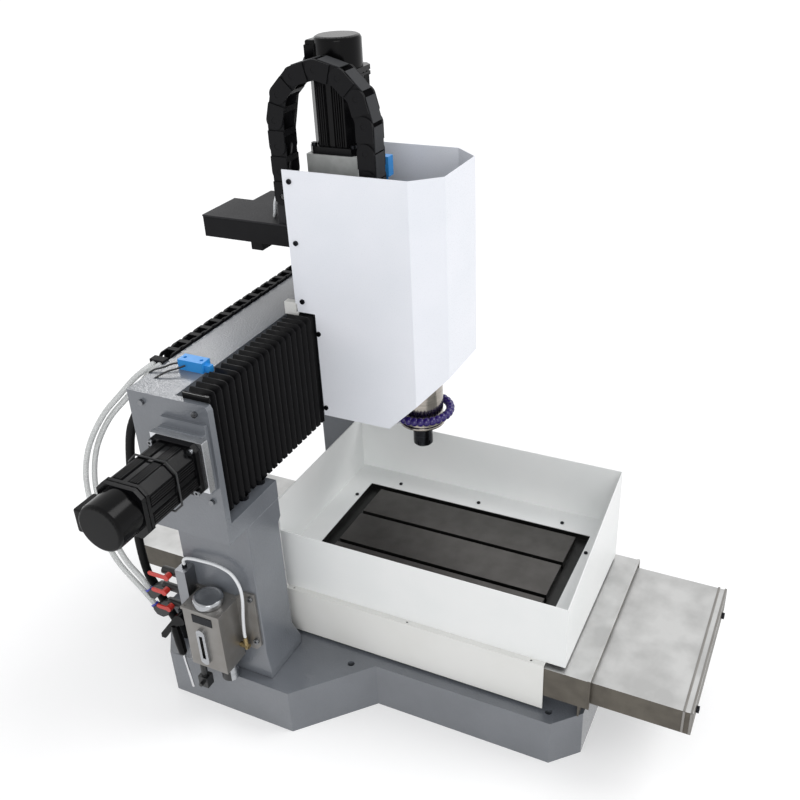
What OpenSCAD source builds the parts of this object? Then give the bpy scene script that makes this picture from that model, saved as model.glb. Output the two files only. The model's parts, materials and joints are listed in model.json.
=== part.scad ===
// Gantry engraving and milling machine for the bench: a cast base, two columns and a cross beam
// carry a head that slides sideways, a spindle that rises and falls, and a table that runs front
// to back under folded steel way covers. Millimetres, Z up, origin at the middle of the base's
// underside. The operator stands at the -Y side. X is the beam, Y the table and Z the spindle.

/* [Base casting] */
// Width of the base's main body
base_w = 390; // [380:2:410]
// Length of the base, front to back
base_len = 850; // [830:5:870]
// Height of the base casting
base_h = 97; // [92:1:102]
// Ledge of the base's wings outside the columns
wing_ledge = 26; // [22:1:32]
// Chamfer on the two front corners
base_chamfer = 45; // [25:5:60]
// Thickness of the base's top plate
base_skin = 18; // [14:1:24]
// Thickness of the ribs under the base
base_rib = 14; // [10:1:18]

/* [Columns] */
// Clear width between the two columns
column_gap = 390; // [386:1:400]
// Width of each column's flanges
column_flange_w = 97; // [92:1:100]
// Height of the columns
column_h = 337; // [330:1:345]
// Front face of the columns and the beam
column_front = 124; // [122:1:128]
// Depth of the columns and the beam
column_depth = 153; // [150:1:158]
// Wall of the columns
column_wall = 16; // [12:1:20]

/* [Cross beam] */
// Length of the beam over its end plates
beam_len = 682; // [676:2:690]
// Height of the beam
beam_h = 260; // [256:1:264]
// Thickness of the end plates
end_plate_t = 13; // [11:1:16]
// Thickness of the beam's web, front to back
web_t = 85; // [80:1:88]
// Height of the open space under the web
web_lift = 46; // [40:1:50]

/* [Linear guides] */
// Width of each guide rail
rail_w = 20; // [16:1:22]
// Height of each guide rail
rail_h = 17.5; // [15:0.5:18]
// Width of each guide block
block_w = 44; // [40:1:46]
// Height of a guide block above the rail's foot
block_h = 30; // [28:0.5:31]
// Length of each guide block
block_len = 77.5; // [70:0.5:80]
// Distance between the X rails
x_rail_gap = 126; // [122:1:130]
// Distance between the Y rails
y_rail_gap = 220; // [212:1:226]
// Distance between the Z rails
z_rail_gap = 102; // [100:1:106]

/* [Ball screws] */
// Diameter of the ball screws
screw_d = 16; // [12:1:16]
// Diameter of the nuts' bodies
nut_d = 28; // [26:1:30]
// Diameter of the journals in the bearings
journal_d = 12; // [8:1:12]
// Diameter of the shaft couplings
coupling_d = 30; // [24:1:32]

/* [Motors] */
// Side of the motors' front flange
motor_flange = 90; // [86:1:94]
// Side of the motors' finned body
motor_body = 80; // [76:1:84]
// Length of the X and Z motors without their caps
motor_len = 132; // [125:1:136]
// Length of the Y motor without its cap
y_motor_len = 108; // [100:1:110]
// Diameter of the motors' round caps
motor_cap_d = 78; // [70:1:80]
// Length of the motors' round caps
motor_cap_len = 49; // [44:1:50]

/* [Head] */
// Where the middle of the head stands along X
head_x = 85; // [75:1:95]
// Width of the head's sheet cover
cover_w = 206; // [204:1:210]
// Thickness of the cover's sheet
cover_t = 2; // [1.5:0.25:3]
// Height of the cover's lower edge
cover_low = 502.5; // [498:0.5:506]
// Height of the cover's upper edge
cover_top = 959; // [950:1:968]
// How far the cover's front stands before the columns' front
cover_reach = 234; // [228:1:240]
// Thickness of the slide plate that the head stands on
saddle_t = 30; // [28:1:32]

/* [Spindle] */
// Diameter of the spindle's body
spindle_d = 80; // [74:1:84]
// Length of the spindle's body
spindle_len = 218; // [210:1:230]
// How far the spindle's axis stands before the columns' front
spindle_reach = 149; // [146:1:152]
// Height of the collet nut's mouth above the floor
nose_z = 418; // [412:1:424]
// Diameter of the collet nut
collet_nut_d = 37; // [32:1:40]
// Diameter of the tool shank
tool_d = 6; // [3:0.5:8]

/* [Table and tray] */
// Length of the ribbed table top
table_len = 408.5; // [400:0.5:412]
// Width of the table top
table_w = 206; // [200:1:210]
// Height of the table top above the floor
table_z = 276; // [272:1:280]
// Width of the slots' mouths
slot_w = 8.5; // [8:0.5:10]
// Width of the slots' undercut
slot_under_w = 15; // [13:0.5:18]
// Depth of the gutter round the table top
gutter_d = 13; // [8:1:16]
// Width of the sheet tray
tray_w = 324; // [320:1:328]
// Height of the tray's low near wall above the floor
tray_low = 329; // [310:1:340]
// Height of the tray's high walls above the floor
tray_high = 395; // [380:1:405]
// Thickness of the tray's sheet
tray_t = 1.5; // [1:0.25:2]
// Width over the two skirts
skirt_w = 346; // [345:1:350]

/* [Way covers] */
// Width of the fixed way covers
fixed_cover_w = 320; // [316:1:322]
// Height of the fixed way covers' top above the floor
fixed_cover_z = 185.5; // [184:0.25:187]
// Step from one telescopic section to the next
cover_step = 5.2; // [4.5:0.1:5.4]
// Thickness of the way covers' sheet
way_t = 1.5; // [1.2:0.1:2]

/* [Lubricator] */
// Width of the oil tank along Y
tank_w = 77; // [70:1:80]
// Depth of the oil tank out from the column
tank_d = 56; // [50:1:58]
// Height of the oil tank
tank_h = 129; // [120:1:135]
// Diameter of the filler cap
tank_cap_d = 56; // [44:1:57]

/* [Clearances] */
// Radial gap between a shaft and its bore
run_gap = 0.1; // [0.05:0.01:0.1]
// Gap between parts that slide past one another
slide_gap = 0.4; // [0.3:0.05:0.5]

/* [Hidden] */
$fn = 48;

// Base and columns
base_front = -base_len / 2;
base_rear = base_len / 2;
flange_in = column_gap / 2;
flange_out = flange_in + column_flange_w;
wing_w = 2 * (flange_out + wing_ledge);
body_in = flange_in + 8;
column_top = base_h + column_h;
column_rear = column_front + column_depth;
beam_top = column_top + beam_h;
beam_end = beam_len / 2;
web_front = column_rear - web_t;
foot_h = 53;
foot_flare = 10;
pad_h = 23;
anchor_r = 6.5;
anchor_x = 170;
anchor_y = 369;
anchor_boss_r = 15;

// X drive
x_rail_y = web_front - 6;
x_screw_z = column_top + 169;
saddle_rear = x_rail_y - block_h;
saddle_front = saddle_rear - saddle_t;
x_screw_y = saddle_rear + 12;
head_half = cover_w / 2 - cover_t;
saddle_half = head_half - 2;
saddle_low = column_top + 74;
saddle_top = beam_top + 4;
bearing_t = 28;
x_journal = beam_end - end_plate_t;
motor_plate_t = 14;
boss_t = 17;
motor_x = -beam_end - boss_t - motor_plate_t;
coupling_len = 32;

// Y drive
y_rail_z = base_h + pad_h;
saddle_bottom = y_rail_z + block_h;
ledge_z = 200.4;
y_saddle_front = -240;
y_saddle_rear = -6;
y_screw_z = base_h + 41;
y_motor_y = base_front - 12;

// Z drive and head
head_rear = column_front + 40;
head_front = column_front - cover_reach;
channel_floor = saddle_front - 9;
z_rail_y = saddle_front - 46;
z_screw_y = saddle_front - 26;
z_plate_rear = z_rail_y - block_h;
z_plate_front = z_plate_rear - 20;
housing_low = saddle_low;
housing_top = 940;
mount_top = 972;
spindle_y = column_front - spindle_reach;
spindle_low = nose_z + 54;
clamp_low = 590;
clamp_high = 676;

// Table
slab_low = 240;
rim_top = table_z - tray_t;
rim_x = 150;
table_left = -114;
table_right = table_left + table_w;
table_front = -330;
table_rear = table_front + table_len;
gutter_left = table_left - 4;
gutter_right = table_right + 13;
gutter_front = table_front - 24;
gutter_rear = table_rear + 28;
tray_front = -392;
tray_rear = 155;
tray_half = tray_w / 2;
ledge_t = 2;
slot_places = [-86.5, 8.5];

// Way covers
mid_cover_w = fixed_cover_w + 2 * cover_step;
mid_cover_z = fixed_cover_z + cover_step;
outer_cover_w = mid_cover_w + 2 * cover_step;
outer_cover_z = mid_cover_z + cover_step;
fixed_side = 137;
mid_side = 135;
outer_side = 132.5;

// Lubricator on the left column
tank_front = column_front + 44;
tank_low = base_h + 41;
tank_back = -flange_out - 5;
lid_t = 5;
tank_top = tank_low + tank_h + lid_t;
cap_y = tank_front + 39;
cap_x = tank_back - tank_d / 2;
glass_low = tank_low + 13;
glass_high = tank_low + 94;
ear_y = tank_front - 31;
ear_z = [tank_low + 44, tank_low + 142];

// Manifold behind it: block, valves out of it and the pivots of their levers as [y, z]
manifold_x = -flange_out - 28;
manifold_y = tank_front + tank_w + 10;
valve_x = -flange_out - 18;
valve_r = 7.5;
valve_z = [300, 262, 224];
valve_end = [312, 318, 312];
elbow_x = [-flange_out - 24.5, -flange_out - 11.5];
collar_places = [[352.5, 227, 30], [345, 194, 38]];
pump_y = tank_front + tank_w + 17;
pump_z = tank_low + 90;

// Cable chains: pitch, links along the first run, links round the bend, links along the last run
z_pitch = 42;
z_first = 3;
z_bend = 6;
z_last = 7;
z_chain_r = z_pitch / 2 / sin(90 / z_bend);
z_chain_w = 39;
z_chain_h = 30;
z_chain_x = head_x - 91;
z_chain_y = 175;
z_chain_z = 1034;
x_pitch = 30;
x_first = 14;
x_bend = 5;
x_last = 3;
x_chain_r = x_pitch / 2 / sin(90 / x_bend);
x_chain_w = 24;
x_chain_h = 20;
x_chain_x = 200;
x_chain_y = column_rear + 2;
x_chain_z = beam_top - 6;

// Cable box behind the head
box_low = 820;
box_top = 857;

// Points along the hoses, chosen by hand
hose_points = [
  [-310, 359.1, 238.4], [-310, 370.5, 258.2], [-306, 408, 294], [-300, 439, 361], [-298, 446, 425],
  [-296, 439, 478], [-293, 420, 531], [-286, 387, 585], [-276, 347, 629], [-268, 316, 660],
  [-262, 295, 682], [-256, 285, 690], [-247, 285, 690]
];
inner_hose_points = [
  [-310, 353.1, 204.4], [-311, 374.5, 231.7], [-312, 422, 288], [-312, 447, 363], [-310, 454, 426],
  [-308, 448, 479], [-304, 427, 536], [-295, 389, 597], [-282, 350, 641], [-273, 325, 668],
  [-266, 306, 684], [-256, 298, 690], [-247, 298, 690]
];
oil_tube_points = [
  [-305, 156, 190.3], [-305, 156, 205], [-305, 153, 240], [-305, 148, 281], [-305, 150, 310],
  [-305, 162, 332], [-305, 180, 341], [-305, 200, 344], [-305, 224, 343], [-305, 246, 341],
  [-305, 260, 337], [-305, 266, 330], [-305, 266, 322.3]
];
conduit_points = [
  [-247, 291, 668], [-252, 291, 668], [-258, 291, 668], [-268, 293, 665], [-276, 299, 655],
  [-279, 308, 640], [-281, 325, 610], [-284, 351, 552], [-287, 373, 420], [-287, 381, 328],
  [-285, 380, 256], [-283, 369, 220], [-278, 345, 150], [-271, 331, 115], [-270, 330, 104],
  [-270, 330, 97.6]
];

// A box given by its limits along X, Y and Z
module block(x, y, z) {
  translate([x[0], y[0], z[0]])
    cube([x[1] - x[0], y[1] - y[0], z[1] - z[0]]);
}

// Round bars along X, Y and Z
module rod_x(x, y, z, r) {
  translate([x[0], y, z])
    rotate([0, 90, 0])
      cylinder(r = r, h = x[1] - x[0]);
}
module rod_y(x, y, z, r) {
  translate([x, y[0], z])
    rotate([-90, 0, 0])
      cylinder(r = r, h = y[1] - y[0]);
}
module rod_z(x, y, z, r) {
  translate([x, y, z[0]])
    cylinder(r = r, h = z[1] - z[0]);
}

// An outline of (y, z) points drawn out along X, and one of (x, z) points drawn out along Y
module slab_x(x, points) {
  translate([x[0], 0, 0])
    rotate([90, 0, 90])
      linear_extrude(x[1] - x[0])
        polygon(points);
}
module slab_y(y, points) {
  translate([0, y[1], 0])
    rotate([90, 0, 0])
      linear_extrude(y[1] - y[0])
        polygon(points);
}

// The same piece on both sides of the machine's middle
module both_sides() {
  children();
  mirror([1, 0, 0])
    children();
}

// A socket head screw with its head above z = 0 and its shank below
module socket_screw(head_r, head_h, shank_r, shank_len) {
  difference() {
    union() {
      cylinder(r = head_r, h = head_h);
      translate([0, 0, -shank_len])
        cylinder(r = shank_r, h = shank_len + 0.5);
    }
    translate([0, 0, head_h * 0.4])
      cylinder(r = head_r * 0.5, h = head_h, $fn = 6);
  }
}

// A guide rail along X with its foot on z = 0, waisted at both sides
module guide_rail(length) {
  half = rail_w / 2;
  neck = half - 2.5;
  slab_x([0, length], [
    [-half, 0], [half, 0], [half, rail_h * 0.35], [neck, rail_h * 0.5], [half, rail_h * 0.7],
    [half, rail_h], [-half, rail_h], [-half, rail_h * 0.7], [-neck, rail_h * 0.5],
    [-half, rail_h * 0.35]
  ]);
}

// A guide block centred on x = 0 that rides on such a rail
module guide_block() {
  half = block_w / 2;
  inner = rail_w / 2 + slide_gap;
  ceiling = rail_h + slide_gap;
  skirt = 4.6;
  difference() {
    slab_x([-block_len / 2, block_len / 2], [
      [-half, skirt + 3], [-half + 3, skirt], [-inner, skirt], [-inner, ceiling], [inner, ceiling],
      [inner, skirt], [half - 3, skirt], [half, skirt + 3], [half, block_h], [-half, block_h]
    ]);
    for (end = [-1, 1])
      translate([end * (block_len / 2 - 9) - 0.5, -half - 1, -1])
        cube([1, 3, block_h - 3]);
  }
}

// A flanged ball nut along X, flange at the low end, with the screw's bore
module ball_nut(length) {
  flange_r = nut_d * 0.76;
  difference() {
    union() {
      rod_x([0, length], 0, 0, nut_d / 2);
      intersection() {
        rod_x([-9, 0], 0, 0, flange_r);
        block([-9, 0], [-flange_r, flange_r], [-nut_d / 2 - 1, nut_d / 2 + 1]);
      }
    }
    rod_x([-10, length + 1], 0, 0, screw_d / 2 + run_gap);
  }
}

// A ball screw along X from 0 to its length, with journals at both ends
module ball_screw(length, journal) {
  rod_x([0, length], 0, 0, screw_d / 2);
  rod_x([-journal, 0], 0, 0, journal_d / 2);
  rod_x([length, length + journal], 0, 0, journal_d / 2);
}

// A shaft coupling with clamp slots along X from 0
module coupling(length) {
  difference() {
    rod_x([0, length], 0, 0, coupling_d / 2);
    for (turn = [0, 1])
      rotate([turn * 180, 0, 0])
        block([length * (0.35 + 0.25 * turn), length * (0.4 + 0.25 * turn)],
              [-coupling_d, coupling_d], [3, coupling_d]);
  }
}

// A square motor with grooves along its sides: flange at 0, body up to its length
module motor_case(length) {
  half = motor_body / 2;
  flange_t = 12;
  groove = [2.5, 3];
  difference() {
    union() {
      linear_extrude(flange_t)
        cut_square(motor_flange / 2, 9);
      linear_extrude(length)
        difference() {
          cut_square(half, 14);
          for (turn = [0 : 3], place = [-18, -6, 6, 18])
            rotate(turn * 90)
              translate([half - groove[0], place - groove[1] / 2])
                square([groove[0] + 1, groove[1]]);
        }
      // Two plates at the back
      for (plate = [[length - 16, 6], [length - 8, 8]])
        translate([0, 0, plate[0]])
          linear_extrude(plate[1])
            cut_square(half + 1, 12);
    }
    translate([0, 0, -1])
      cylinder(r = 7 + run_gap, h = 40);
    for (sx = [-1, 1], sy = [-1, 1])
      translate([sx * motor_flange * 0.41, sy * motor_flange * 0.41, -1])
        cylinder(r = 3.3, h = flange_t + 2);
  }
}

// A square of the given half side with its corners cut
module cut_square(half, cut) {
  polygon([
    [half - cut, -half], [half, cut - half], [half, half - cut], [half - cut, half],
    [cut - half, half], [-half, half - cut], [-half, cut - half], [cut - half, -half]
  ]);
}

// The motor's round cap along Z with its plug housing towards +Y
module motor_cap(length) {
  r = motor_cap_d / 2;
  rotate_extrude()
    polygon([[0, 0], [r, 0], [r, length - 6], [r - 2, length - 2], [r - 6, length], [0, length]]);
  difference() {
    block([-13, 13], [0, r + 14], [4, 36]);
    block([-9, 9], [r + 6, r + 15], [9, 31]);
  }
}

// An inverted U of sheet along Y: half width, top height, lower edge and sheet thickness
module hood(half, top, low, sheet, y) {
  slab_y(y, [
    [-half, low], [-half, top], [half, top], [half, low], [half - sheet, low],
    [half - sheet, top - sheet], [sheet - half, top - sheet], [sheet - half, low]
  ]);
}

// A telescopic section: the hood, the lip that rides on the next one and its rolled outer edge
module way_section(half, top, low, y, front, rolled) {
  lip = cover_step - slide_gap;
  edge = front ? [y[0], y[0] + way_t] : [y[1] - way_t, y[1]];
  roll = front ? [y[0], y[0] + 5] : [y[1] - 5, y[1]];
  hood(half, top, low, way_t, y);
  hood(half, top, low, lip, edge);
  if (rolled)
    hood(half + 0.5, top + 1.5, low, 2, roll);
}

// Outline of the base's left half
function base_side() = [
  [0, base_front], [base_chamfer - base_w / 2, base_front],
  [-base_w / 2, base_front + base_chamfer], [-base_w / 2, -45], [-wing_w / 2, 70],
  [-wing_w / 2, 333], [-base_w / 2, base_rear], [0, base_rear]
];

module base_casting() {
  cell_x = (base_w - 5 * base_rib) / 4;
  cell_y = (base_len - 90) / 8 - base_rib;
  pitch_x = cell_x + base_rib;
  pitch_y = cell_y + base_rib;
  color([0.42, 0.44, 0.48])
    difference() {
      union() {
        difference() {
          both_sides()
            linear_extrude(base_h)
              polygon(base_side());
          // Pockets between the ribs underneath
          for (i = [-2 : 1], j = [-4 : 3])
            block([i * pitch_x + base_rib / 2, i * pitch_x + base_rib / 2 + cell_x],
                  [j * pitch_y + base_rib / 2, j * pitch_y + base_rib / 2 + cell_y],
                  [-1, base_h - base_skin]);
          both_sides()
            for (j = [0, 1])
              block([-wing_w / 2 + base_rib, -wing_w / 2 + base_rib + 96],
                    [92 + j * 112, 92 + j * 112 + 98], [-1, base_h - base_skin]);
        }
        // Bosses round the four holes for the anchor bolts
        for (sx = [-1, 1], sy = [-1, 1])
          rod_z(sx * anchor_x, sy * anchor_y, [0, base_h - base_skin + 1], anchor_boss_r);
        // Raised pads under the Y rails
        both_sides()
          block([-y_rail_gap / 2 - 27, -y_rail_gap / 2 + 27], [base_front + 14, base_rear - 14],
                [base_h - 0.5, y_rail_z]);
      }
      for (sx = [-1, 1], sy = [-1, 1])
        rod_z(sx * anchor_x, sy * anchor_y, [-1, base_h + 1], anchor_r);
      for (sx = [-1, 1])
        rod_z(sx * 207, 0, [-1, base_h + 1], anchor_r);
    }
}

// The left column: flared foot, waisted body, top flange, and a ribbed back
module column() {
  low = base_h;
  out = flange_out;
  rows = 3;
  row_h = (column_h - 40 - foot_h - column_wall) / rows;
  difference() {
    intersection() {
      slab_y([column_front - 10, column_rear], [
        [-out - 6, low], [-out - 6, low + 20], [-out, low + foot_h], [-out, column_top],
        [-flange_in, column_top], [-flange_in, column_top - 40], [-body_in, column_top - 48],
        [-body_in, low + foot_h], [-flange_in, low + 20], [-flange_in, low]
      ]);
      slab_x([-out - 6, -flange_in], [
        [column_front - foot_flare, low], [column_front - foot_flare, low + 20],
        [column_front, low + foot_h], [column_front, column_top], [column_rear, column_top],
        [column_rear, low]
      ]);
    }
    for (i = [0 : rows - 1])
      block([-out + column_wall, -body_in - column_wall],
            [column_front + column_wall, column_rear + 1],
            [low + foot_h + i * row_h, low + foot_h + (i + 1) * row_h - column_wall]);
  }
}

module left_column() {
  color([0.42, 0.44, 0.48])
    column();
}

module right_column() {
  color([0.42, 0.44, 0.48])
    mirror([1, 0, 0])
      column();
}

module cross_beam() {
  cell_w = 98;
  cell_pitch = cell_w + 14;
  end_in = beam_end - end_plate_t;
  ledge_h = 36;
  nose = 10;
  web_low = column_top + web_lift;
  color([0.42, 0.44, 0.48])
    difference() {
      union() {
        // Web between the end plates, with machined seats for the rails
        block([-end_in, end_in], [web_front, column_rear], [web_low, beam_top]);
        for (s = [-1, 1])
          block([-end_in, end_in], [x_rail_y, web_front + 1],
                [x_screw_z + s * x_rail_gap / 2 - 16, x_screw_z + s * x_rail_gap / 2 + 16]);
        both_sides() {
          // End plate with a cut upper corner, and the ledge on the column
          slab_x([-beam_end, -end_in], [
            [column_front, column_top], [column_front, beam_top - nose],
            [column_front + nose * 0.3, beam_top - nose * 0.3], [column_front + nose, beam_top],
            [column_rear, beam_top], [column_rear, column_top]
          ]);
          block([-end_in - 1, -flange_in], [column_front, column_rear],
                [column_top, column_top + ledge_h]);
          slab_y([web_front, column_rear], [
            [-end_in - 1, column_top + ledge_h - 1], [-end_in - 1, web_low + 1],
            [-flange_in + web_lift - ledge_h, web_low + 1], [-flange_in, column_top + ledge_h - 1]
          ]);
        }
        // Boss for the motor, and the lower pad that it stands on
        for (step = [[boss_t, 47], [8, 61]])
          block([-beam_end - step[0], -beam_end + 1], [column_front + 4, x_screw_y + 44],
                [x_screw_z - 58, x_screw_z + step[1]]);
      }
      rod_x([-beam_end - boss_t - 1, -end_in + 1], x_screw_y, x_screw_z, coupling_d / 2 + 4);
      // Pockets in the back
      for (i = [-2 : 2], row = [0, 1])
        block([i * cell_pitch - cell_w / 2, i * cell_pitch + cell_w / 2],
              [web_front + 18, column_rear + 1],
              [web_low + 14 + row * 94, web_low + 14 + row * 94 + 80]);
    }
}

module linear_rails() {
  reach = beam_end - end_plate_t - 8;
  color([0.75, 0.76, 0.78]) {
    for (s = [-1, 1])
      translate([-reach, x_rail_y, x_screw_z + s * x_rail_gap / 2])
        rotate([90, 0, 0])
          guide_rail(2 * reach);
    for (s = [-1, 1])
      translate([s * y_rail_gap / 2, base_front + 22, y_rail_z])
        rotate([0, 0, 90])
          guide_rail(base_len - 44);
  }
}

// Bearing blocks of the X and Y screws
module screw_supports() {
  bore = journal_d / 2 + run_gap;
  color([0.2, 0.2, 0.22]) {
    both_sides()
      difference() {
        block([-x_journal, bearing_t - x_journal], [x_screw_y - 20, web_front],
              [x_screw_z - 30, x_screw_z + 30]);
        rod_x([-x_journal - 1, bearing_t - x_journal + 1], x_screw_y, x_screw_z, bore);
      }
    for (y = [base_front, base_rear - bearing_t])
      difference() {
        block([-32, 32], [y, y + bearing_t], [base_h, y_screw_z + 28]);
        rod_y(0, [y - 1, y + bearing_t + 1], y_screw_z, bore);
      }
  }
}

module x_motor_plate() {
  color([0.8, 0.81, 0.82])
    difference() {
      block([motor_x, motor_x + motor_plate_t],
            [x_screw_y - motor_flange / 2 - 4, x_screw_y + motor_flange / 2 + 4],
            [x_screw_z - motor_flange / 2, x_screw_z + motor_flange / 2]);
      rod_x([motor_x - 1, motor_x + motor_plate_t + 1], x_screw_y, x_screw_z, coupling_d / 2 + 4);
      for (sy = [-1, 1], sz = [-1, 1])
        rod_x([motor_x - 1, motor_x + motor_plate_t + 1], x_screw_y + sy * motor_flange * 0.41,
              x_screw_z + sz * motor_flange * 0.41, 3.3);
    }
}

// Turns a motor drawn along Z to point along -X
module on_x_axis() {
  translate([motor_x, x_screw_y, x_screw_z])
    rotate([0, -90, 0])
      children();
}

module x_motor() {
  color([0.16, 0.16, 0.17])
    on_x_axis()
      motor_case(motor_len);
}

module x_motor_cap() {
  color([0.09, 0.09, 0.1])
    on_x_axis()
      translate([0, 0, motor_len])
        motor_cap(motor_cap_len);
}

module y_motor() {
  color([0.16, 0.16, 0.17]) {
    difference() {
      block([-47, 47], [y_motor_y, base_front], [y_screw_z - 41, y_screw_z + 40]);
      rod_y(0, [y_motor_y - 1, base_front + 1], y_screw_z, 8);
    }
    translate([0, y_motor_y, y_screw_z])
      rotate([90, 0, 0]) {
        linear_extrude(y_motor_len)
          difference() {
            cut_square(motor_body / 2, 11);
            circle(r = 7 + run_gap);
          }
        translate([0, 0, y_motor_len - 0.5])
          cylinder(r = motor_cap_d / 2 - 2, h = motor_cap_len - 4);
      }
  }
}

module x_limit_switch() {
  color([0.1, 0.35, 0.7])
    difference() {
      union() {
        block([-256, -234], [column_rear - 84, column_rear - 36], [beam_top, beam_top + 18]);
        block([-250, -240], [column_rear - 94, column_rear - 84], [beam_top, beam_top + 12]);
      }
      for (y = [column_rear - 76, column_rear - 44])
        rod_z(-245, y, [beam_top + 10, beam_top + 20], 3);
    }
}

// Folded shelf behind the beam that the X cable chain lies on, with the chain's fixed end
module chain_shelf() {
  low = x_chain_z - x_chain_h / 2;
  far = x_chain_y + x_chain_w + 2;
  left = x_chain_x - x_first * x_pitch - x_pitch;
  color([0.3, 0.31, 0.33]) {
    slab_x([left + 14, x_chain_x + 70], [
      [column_rear, low - 40], [column_rear, low], [far - 2, low], [far - 2, low + 6],
      [far, low + 6], [far, low - 2], [column_rear + 2, low - 2], [column_rear + 2, low - 40]
    ]);
    difference() {
      block([left, left + 15], [column_rear, far], [low - 22, low + x_chain_h]);
      // Sockets of the two hoses and the conduit
      for (y = [285, 298])
        rod_x([left - 1, left + 4], y, 690, 5.6);
      rod_x([left - 1, left + 4], 291, 668, 8.6);
    }
  }
}

module fixed_covers() {
  half = fixed_cover_w / 2;
  front = y_motor_y - y_motor_len - motor_cap_len - 9;
  rear = base_rear + 105;
  color([0.66, 0.65, 0.63])
    difference() {
      union() {
        hood(half, fixed_cover_z, fixed_side, way_t, [front, -304]);
        hood(half, fixed_cover_z, fixed_side, way_t, [base_rear - 175, rear]);
        block([-half, half], [front, front + 2], [fixed_side, fixed_cover_z]);
        block([-half, half], [rear - 2, rear], [fixed_side, fixed_cover_z]);
        // Feet on the base, front and rear
        for (y = [base_front + 6, base_rear - 30], s = [-1, 1])
          block([s * (half - 9) - 9, s * (half - 9) + 9], [y, y + 3], [base_h, fixed_cover_z - 1]);
      }
      for (s = [-1, 1])
        rod_y(s * 120, [front - 1, front + 3], fixed_side + 20, 3);
    }
}

module oil_tank() {
  y0 = tank_front;
  y1 = y0 + tank_w;
  wall = 3;
  outer = tank_back - tank_d;
  color([0.7, 0.71, 0.72])
    difference() {
      union() {
        block([outer, tank_back], [y0, y1], [tank_low, tank_low + tank_h]);
        // Back plate with its ear on the column
        slab_x([tank_back, -flange_out], [
          [y0 - 39, tank_low + 34], [y0 - 39, ear_z[1] + 10], [y0 - 18, ear_z[1] + 10],
          [y0 + 4, tank_top], [y1 + 10, tank_top], [y1 + 10, tank_low + 22], [y0 - 28, tank_low + 22]
        ]);
      }
      block([outer + wall, tank_back - wall], [y0 + wall, y1 - wall],
            [tank_low + wall, tank_low + tank_h + 1]);
      for (z = ear_z)
        rod_x([tank_back - 1, -flange_out + 1], ear_y, z, 3.3);
      for (z = [glass_low + 16, glass_high - 16])
        rod_x([outer - 1, outer + wall + 1], y0 + 42, z, 3);
    }
}

module tank_lid() {
  color([0.74, 0.75, 0.76])
    difference() {
      block([tank_back - tank_d - 2, tank_back], [tank_front - 2, tank_front + tank_w + 2],
            [tank_low + tank_h, tank_top]);
      rod_z(cap_x, cap_y, [tank_low + tank_h - 1, tank_top + 1], tank_cap_d / 2 - 8);
      for (x = [tank_back - tank_d + 5, tank_back - 5], y = [tank_front + 5, tank_front + tank_w - 5])
        rod_z(x, y, [tank_top - 1.5, tank_top + 1], 2.2);
    }
}

module tank_cap() {
  r = tank_cap_d / 2;
  color([0.55, 0.56, 0.58])
    translate([cap_x, cap_y, tank_top + 0.2])
      rotate_extrude()
        polygon([
          [0, -3], [r - 8 - run_gap, -3], [r - 8 - run_gap, 0], [r - 1, 0], [r, 1], [r, 9],
          [r - 2, 13], [r - 5, 14], [r - 9, 12.5], [0, 12]
        ]);
}

module sight_glass() {
  x = tank_back - tank_d;
  y = tank_front + 42;
  color([0.85, 0.86, 0.87])
    difference() {
      union() {
        block([x - 6, x], [y - 9, y + 9], [glass_low + 9, glass_high - 9]);
        for (z = [glass_low + 9, glass_high - 9])
          rod_x([x - 6, x], y, z, 9);
        for (z = [glass_low + 16, glass_high - 16])
          rod_x([x - 0.5, x + 3], y, z, 3 - run_gap);
      }
      block([x - 7, x - 2], [y - 3.5, y + 3.5], [glass_low + 14, glass_high - 14]);
    }
}

// Brass outlet, strainer cup, dark drain block and pump body
module oil_fittings() {
  outlet_x = tank_back - 8;
  outlet_z = tank_low + 32;
  drain_x = tank_back - tank_d + 8;
  color([0.5, 0.45, 0.33]) {
    rod_y(outlet_x, [tank_front - 18, tank_front], outlet_z, 5);
    rod_z(outlet_x, tank_front - 12, [outlet_z - 6, outlet_z + 20], 4.5);
    // Strainer cup under the tank
    rod_z(tank_back - 28, tank_front + 18, [tank_low - 34, tank_low], 16);
    // Drain block on its neck
    block([drain_x - 9, drain_x + 9], [tank_front + 52, tank_front + 72], [tank_low - 56, tank_low - 32]);
    rod_z(drain_x, tank_front + 62, [tank_low - 33, tank_low], 6);
    rod_x([drain_x - 17, drain_x - 8], tank_front + 62, tank_low - 44, 4);
    // Pump body on the far side
    block([manifold_x - 17, manifold_x - 1], [tank_front + tank_w, pump_y + 10],
          [pump_z - 13, pump_z + 13]);
    // Nipple over the manifold
    rod_z(-305, 266, [317, 322], 4.5);
  }
}

module manifold_block() {
  x = -flange_out;
  color([0.72, 0.73, 0.75])
    difference() {
      block([manifold_x, x], [manifold_y, column_rear], [valve_z[2] - 28, valve_z[0] + 17]);
      for (z = valve_z)
        rod_y(valve_x, [column_rear - 4, column_rear + 1], z, 4);
    }
}

// Black valve bodies and swivel elbows with the collars that grip the hoses
module hose_elbows() {
  color([0.12, 0.12, 0.13]) {
    for (i = [0 : 2]) {
      rod_y(valve_x, [column_rear, valve_end[i]], valve_z[i], valve_r);
      rod_y(valve_x, [column_rear - 3.9, column_rear + 1], valve_z[i], 4 - run_gap);
    }
    slab_x(elbow_x, [
      [312, 255.5], [312, 268.5], [330, 263], [344, 252], [352, 241], [360, 237], [354, 224],
      [344, 223], [330, 238]
    ]);
    slab_x(elbow_x, [
      [306, 217.5], [306, 230.5], [318, 228], [330, 218], [338, 208], [347, 206], [353, 196],
      [346, 186], [332, 184], [320, 192], [312, 206]
    ]);
    for (p = collar_places)
      translate([valve_x, p[0], p[1]])
        rotate([-p[2], 0, 0])
          cylinder(r = 7, h = 12.5);
  }
}

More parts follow.
